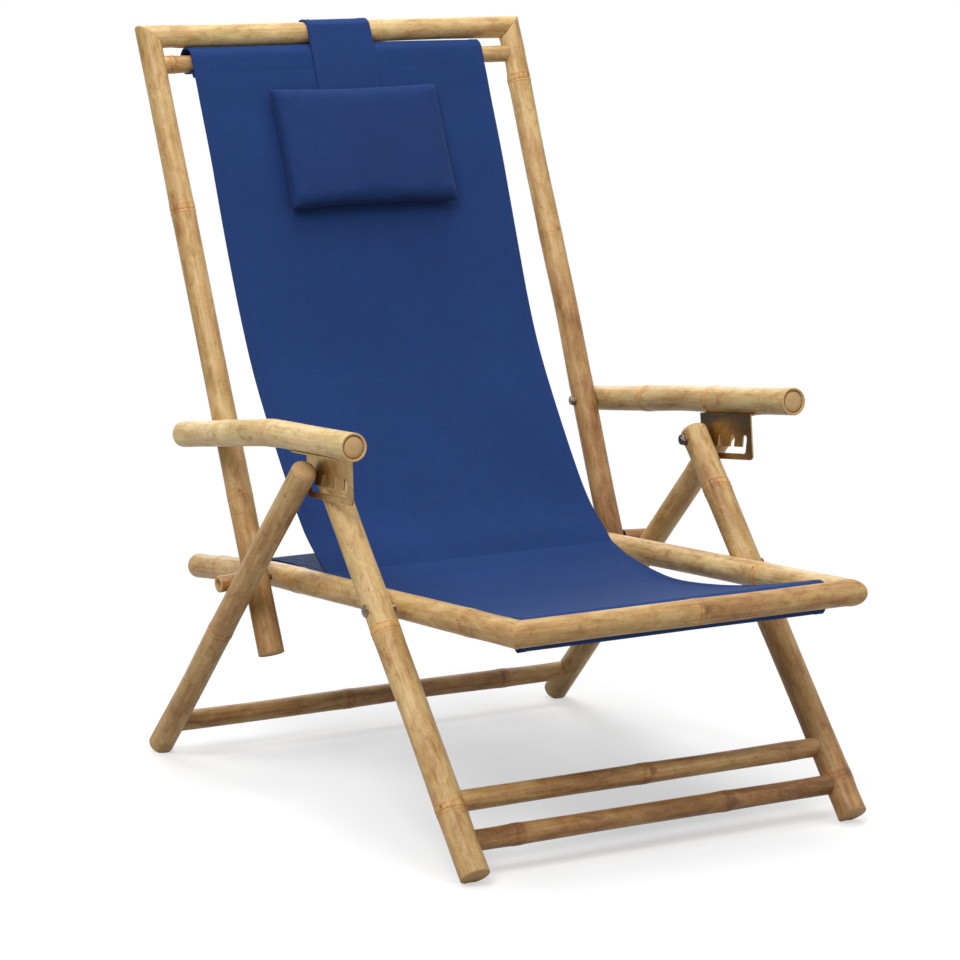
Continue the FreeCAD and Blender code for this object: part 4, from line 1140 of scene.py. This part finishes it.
def pillow_shell(columns, rows):
    """Two panels joined along one seam. A panel's height over the seam is a product of two quarter
    circles, one for the distance to each pair of edges, with a low crown in its middle; the edges
    between the corners draw in a little, so the corners stand out as points."""
    u = np.linspace(-1, 1, columns)[None, :] + np.zeros((rows, 1))
    v = np.linspace(-1, 1, rows)[:, None] + np.zeros((1, columns))
    u = np.sin(u * math.pi / 2) * 0.35 + u * 0.65
    v = np.sin(v * math.pi / 2) * 0.35 + v * 0.65
    half_width, half_height = PILLOW_WIDTH / 2, PILLOW_HEIGHT / 2
    rise = np.ones_like(u)
    for edge in ((1 - np.abs(u)) * half_width, (1 - np.abs(v)) * half_height):
        rise = rise * np.sqrt(1 - (1 - np.minimum(edge / 0.017, 1)) ** 2)
    crown = (1 - u ** 2) * (1 - v ** 2)
    x = u * half_width * (1 - 0.016 * (1 - v ** 2))
    y = v * half_height * (1 - 0.020 * (1 - u ** 2))
    front = np.stack([x, y, PILLOW_THICKNESS * (0.56 * rise + 0.12 * crown)], -1).reshape(-1, 3)
    back = np.stack([x, y, -PILLOW_THICKNESS * 0.32 * rise], -1).reshape(-1, 3)
    inside = (np.maximum(np.abs(u), np.abs(v)) < 0.9999).ravel()
    index = np.arange(rows * columns)
    back_index = np.where(inside, index.size + np.cumsum(inside) - 1, index)
    faces = grid_faces(rows, columns, False)
    faces += back_index[np.array(faces)][:, ::-1].tolist()
    return np.concatenate([front, back[inside]]), faces


def blow_up(piece, points):
    """Points moved by a share of what a cloth simulation with some pressure inside gives, which is
    5 mm at most; the share is small because the pad is firm."""
    cloth = piece.modifiers.new("cloth", "CLOTH")
    cloth.settings.quality = 8
    cloth.settings.mass = 0.2
    cloth.settings.tension_stiffness = 30
    cloth.settings.compression_stiffness = 30
    cloth.settings.shear_stiffness = 10
    cloth.settings.bending_stiffness = 0.8
    cloth.settings.use_pressure = True
    cloth.settings.uniform_pressure_force = 3.0
    cloth.settings.effector_weights.gravity = 0
    cloth.point_cache.frame_start = 1
    cloth.point_cache.frame_end = 24
    for step in range(1, 25):
        bpy.context.scene.frame_set(step)
    blown = piece.evaluated_get(bpy.context.evaluated_depsgraph_get())
    mesh = blown.to_mesh()
    shape = np.empty(len(mesh.vertices) * 3)
    mesh.vertices.foreach_get("co", shape)
    blown.to_mesh_clear()
    piece.modifiers.clear()
    bpy.context.scene.frame_set(1)
    move = shape.reshape(-1, 3) - points
    far = np.linalg.norm(move, axis=1, keepdims=True)
    return points + PILLOW_GIVE * move * np.minimum(1, 0.005 / np.maximum(far, 1e-9))


def make_pillow():
    """Thin padded pillow that rests on the back cloth, its rear pressed flat."""
    points, faces = pillow_shell(89, 61)
    piece = add_piece("pillow_shell", points, faces, uv=points[:, :2] + [0.31, 0.17])
    points = blow_up(piece, points)
    low, high = points.min(0), points.max(0)
    middle, size = (low + high) / 2, high - low
    x = (points[:, 0] - middle[0]) / size[0] * PILLOW_WIDTH
    up = (points[:, 1] - middle[1]) / size[1] * PILLOW_HEIGHT
    forward = (points[:, 2] - low[2]) / size[2] * PILLOW_THICKNESS
    forward = np.maximum(forward, 0.004) + PILLOW_FORWARD - PILLOW_THICKNESS * 0.24
    down = PILLOW_BELOW_TOP + PILLOW_HEIGHT / 2 - up
    points = (at(0, POST_TOP) + x[:, None] * X_WAY - down[:, None] * POST_UP
              + forward[:, None] * POST_FORWARD)
    piece.data.vertices.foreach_set("co", points.astype(np.float32).ravel())
    piece.data.update()
    finer = piece.modifiers.new("finer", "SUBSURF")
    finer.levels = 1
    finer.render_levels = 1
    finish(piece, "pillow_cloth", ["headrest_pillow"], "back_frame")


def make_strap():
    """Band that runs from the pillow's upper seam over the top rail and down behind the cloth."""
    line = [beside(POST_TOP, PILLOW_FORWARD - 0.0030, -PILLOW_BELOW_TOP - 0.010),
            beside(POST_TOP, PILLOW_FORWARD - 0.0025, -PILLOW_BELOW_TOP + 0.006),
            beside(POST_TOP, 0.0158, -0.048)]
    turn = math.atan2(*POST_FORWARD[:0:-1])
    line += arc_round(POST_TOP, TOP_RAIL_R + 0.0018, turn - 0.1, turn - math.radians(178), 12)
    line += [beside(POST_TOP, -0.0185, -0.030), beside(POST_TOP, -0.0180, -0.070)]
    _, length = smooth_line(line, 2)
    piece, length = thick_sheet("pillow_strap", line, (STRAP_WIDTH / 2, STRAP_WIDTH / 2),
                                [0.012, length - 0.01], 9, 0.0003)
    finish(piece, "strap_cloth", ["headrest_strap"], "back_frame")


make_pillow()
make_strap()


# Floor, light and camera

def make_stage():
    """White floor that keeps the chair's shadow near it and shines as plain white further out,
    inside a white surround. Light that bounces off it is weaker, so undersides stay in shade."""
    bpy.ops.mesh.primitive_plane_add(size=60)
    floor = bpy.context.object
    floor.name = "floor"
    material, n, shader = new_material("floor_paper")
    shader.inputs["Roughness"].default_value = 0.9
    shader.inputs["Specular IOR Level"].default_value = 0.1
    place = n.add("ShaderNodeTexCoord").outputs["Object"]
    away = n.add("ShaderNodeVectorMath", {0: place}, operation="LENGTH").outputs["Value"]
    rays = n.add("ShaderNodeLightPath").outputs
    bounce = n.mix(rays["Is Diffuse Ray"], (0.95, 0.95, 0.95, 1), (0.38, 0.36, 0.33, 1))
    n.feed(shader.inputs["Base Color"], bounce)
    seen = n.math("MAXIMUM", rays["Is Camera Ray"], rays["Is Glossy Ray"])
    glow = n.add("ShaderNodeEmission").outputs[0]
    mix = n.add("ShaderNodeMixShader", {0: n.math("MULTIPLY", seen, n.range(away, 0.2, 1.3, 0.45, 1.0)),
                                        1: shader.outputs[0], 2: glow})
    n.feed(material.node_tree.nodes["Material Output"].inputs["Surface"], mix.outputs[0])
    floor.data.materials.append(material)
    world = bpy.data.worlds.new("surround")
    bpy.context.scene.world = world
    world.use_nodes = True
    n = Nodes(world.node_tree)
    sky = world.node_tree.nodes["Background"]
    sky.inputs["Color"].default_value = (1, 1, 1, 1)
    rays = n.add("ShaderNodeLightPath").outputs
    seen = n.math("MAXIMUM", n.math("MAXIMUM", rays["Is Camera Ray"], rays["Is Glossy Ray"]),
                  rays["Is Transmission Ray"])
    n.feed(sky.inputs["Strength"], n.math("MULTIPLY_ADD", seen, 0.55, 0.45))


def make_lamp(name, place, target, size, power):
    """Square soft lamp at a place, turned to a target."""
    lamp = bpy.data.lights.new(name, "AREA")
    lamp.size = size
    lamp.energy = power
    piece = bpy.data.objects.new(name, lamp)
    bpy.context.collection.objects.link(piece)
    back = unit(np.array(place) - np.array(target))
    first, second = cross_ways(back)
    matrix = np.eye(4)
    matrix[:3, :3] = np.stack([first, second, back], 1)
    matrix[:3, 3] = place
    piece.matrix_world = Matrix(matrix.tolist())


def make_camera():
    """Camera at the photograph's place, with its lens."""
    yaw, pitch = CAMERA_YAW, CAMERA_PITCH
    back = np.array([math.sin(yaw) * math.cos(pitch), -math.cos(yaw) * math.cos(pitch), math.sin(pitch)])
    right = np.array([math.cos(yaw), math.sin(yaw), 0])
    matrix = np.eye(4)
    matrix[:3, :3] = np.stack([right, np.cross(back, right), back], 1)
    matrix[:3, 3] = CAMERA_PLACE
    data = bpy.data.cameras.new("photo_camera")
    data.lens = CAMERA_LENS
    data.sensor_width = 36
    data.sensor_fit = "HORIZONTAL"
    camera = bpy.data.objects.new("photo_camera", data)
    bpy.context.collection.objects.link(camera)
    camera.matrix_world = Matrix(matrix.tolist())
    bpy.context.scene.camera = camera


make_stage()
make_lamp("key_lamp", (-2.4, -1.8, 3.6), (0, 0, 0.4), 1.8, 122)
make_lamp("fill_lamp", (2.6, -2.6, 1.6), (0, 0, 0.4), 2.6, 22)
make_lamp("top_lamp", (0.2, 0.3, 3.6), (0, 0, 0.3), 2.0, 72)
make_lamp("rear_lamp", (1.2, 3.4, 2.0), (0, 0.2, 0.4), 2.4, 40)
make_camera()
bpy.context.scene.view_settings.view_transform = "Standard"
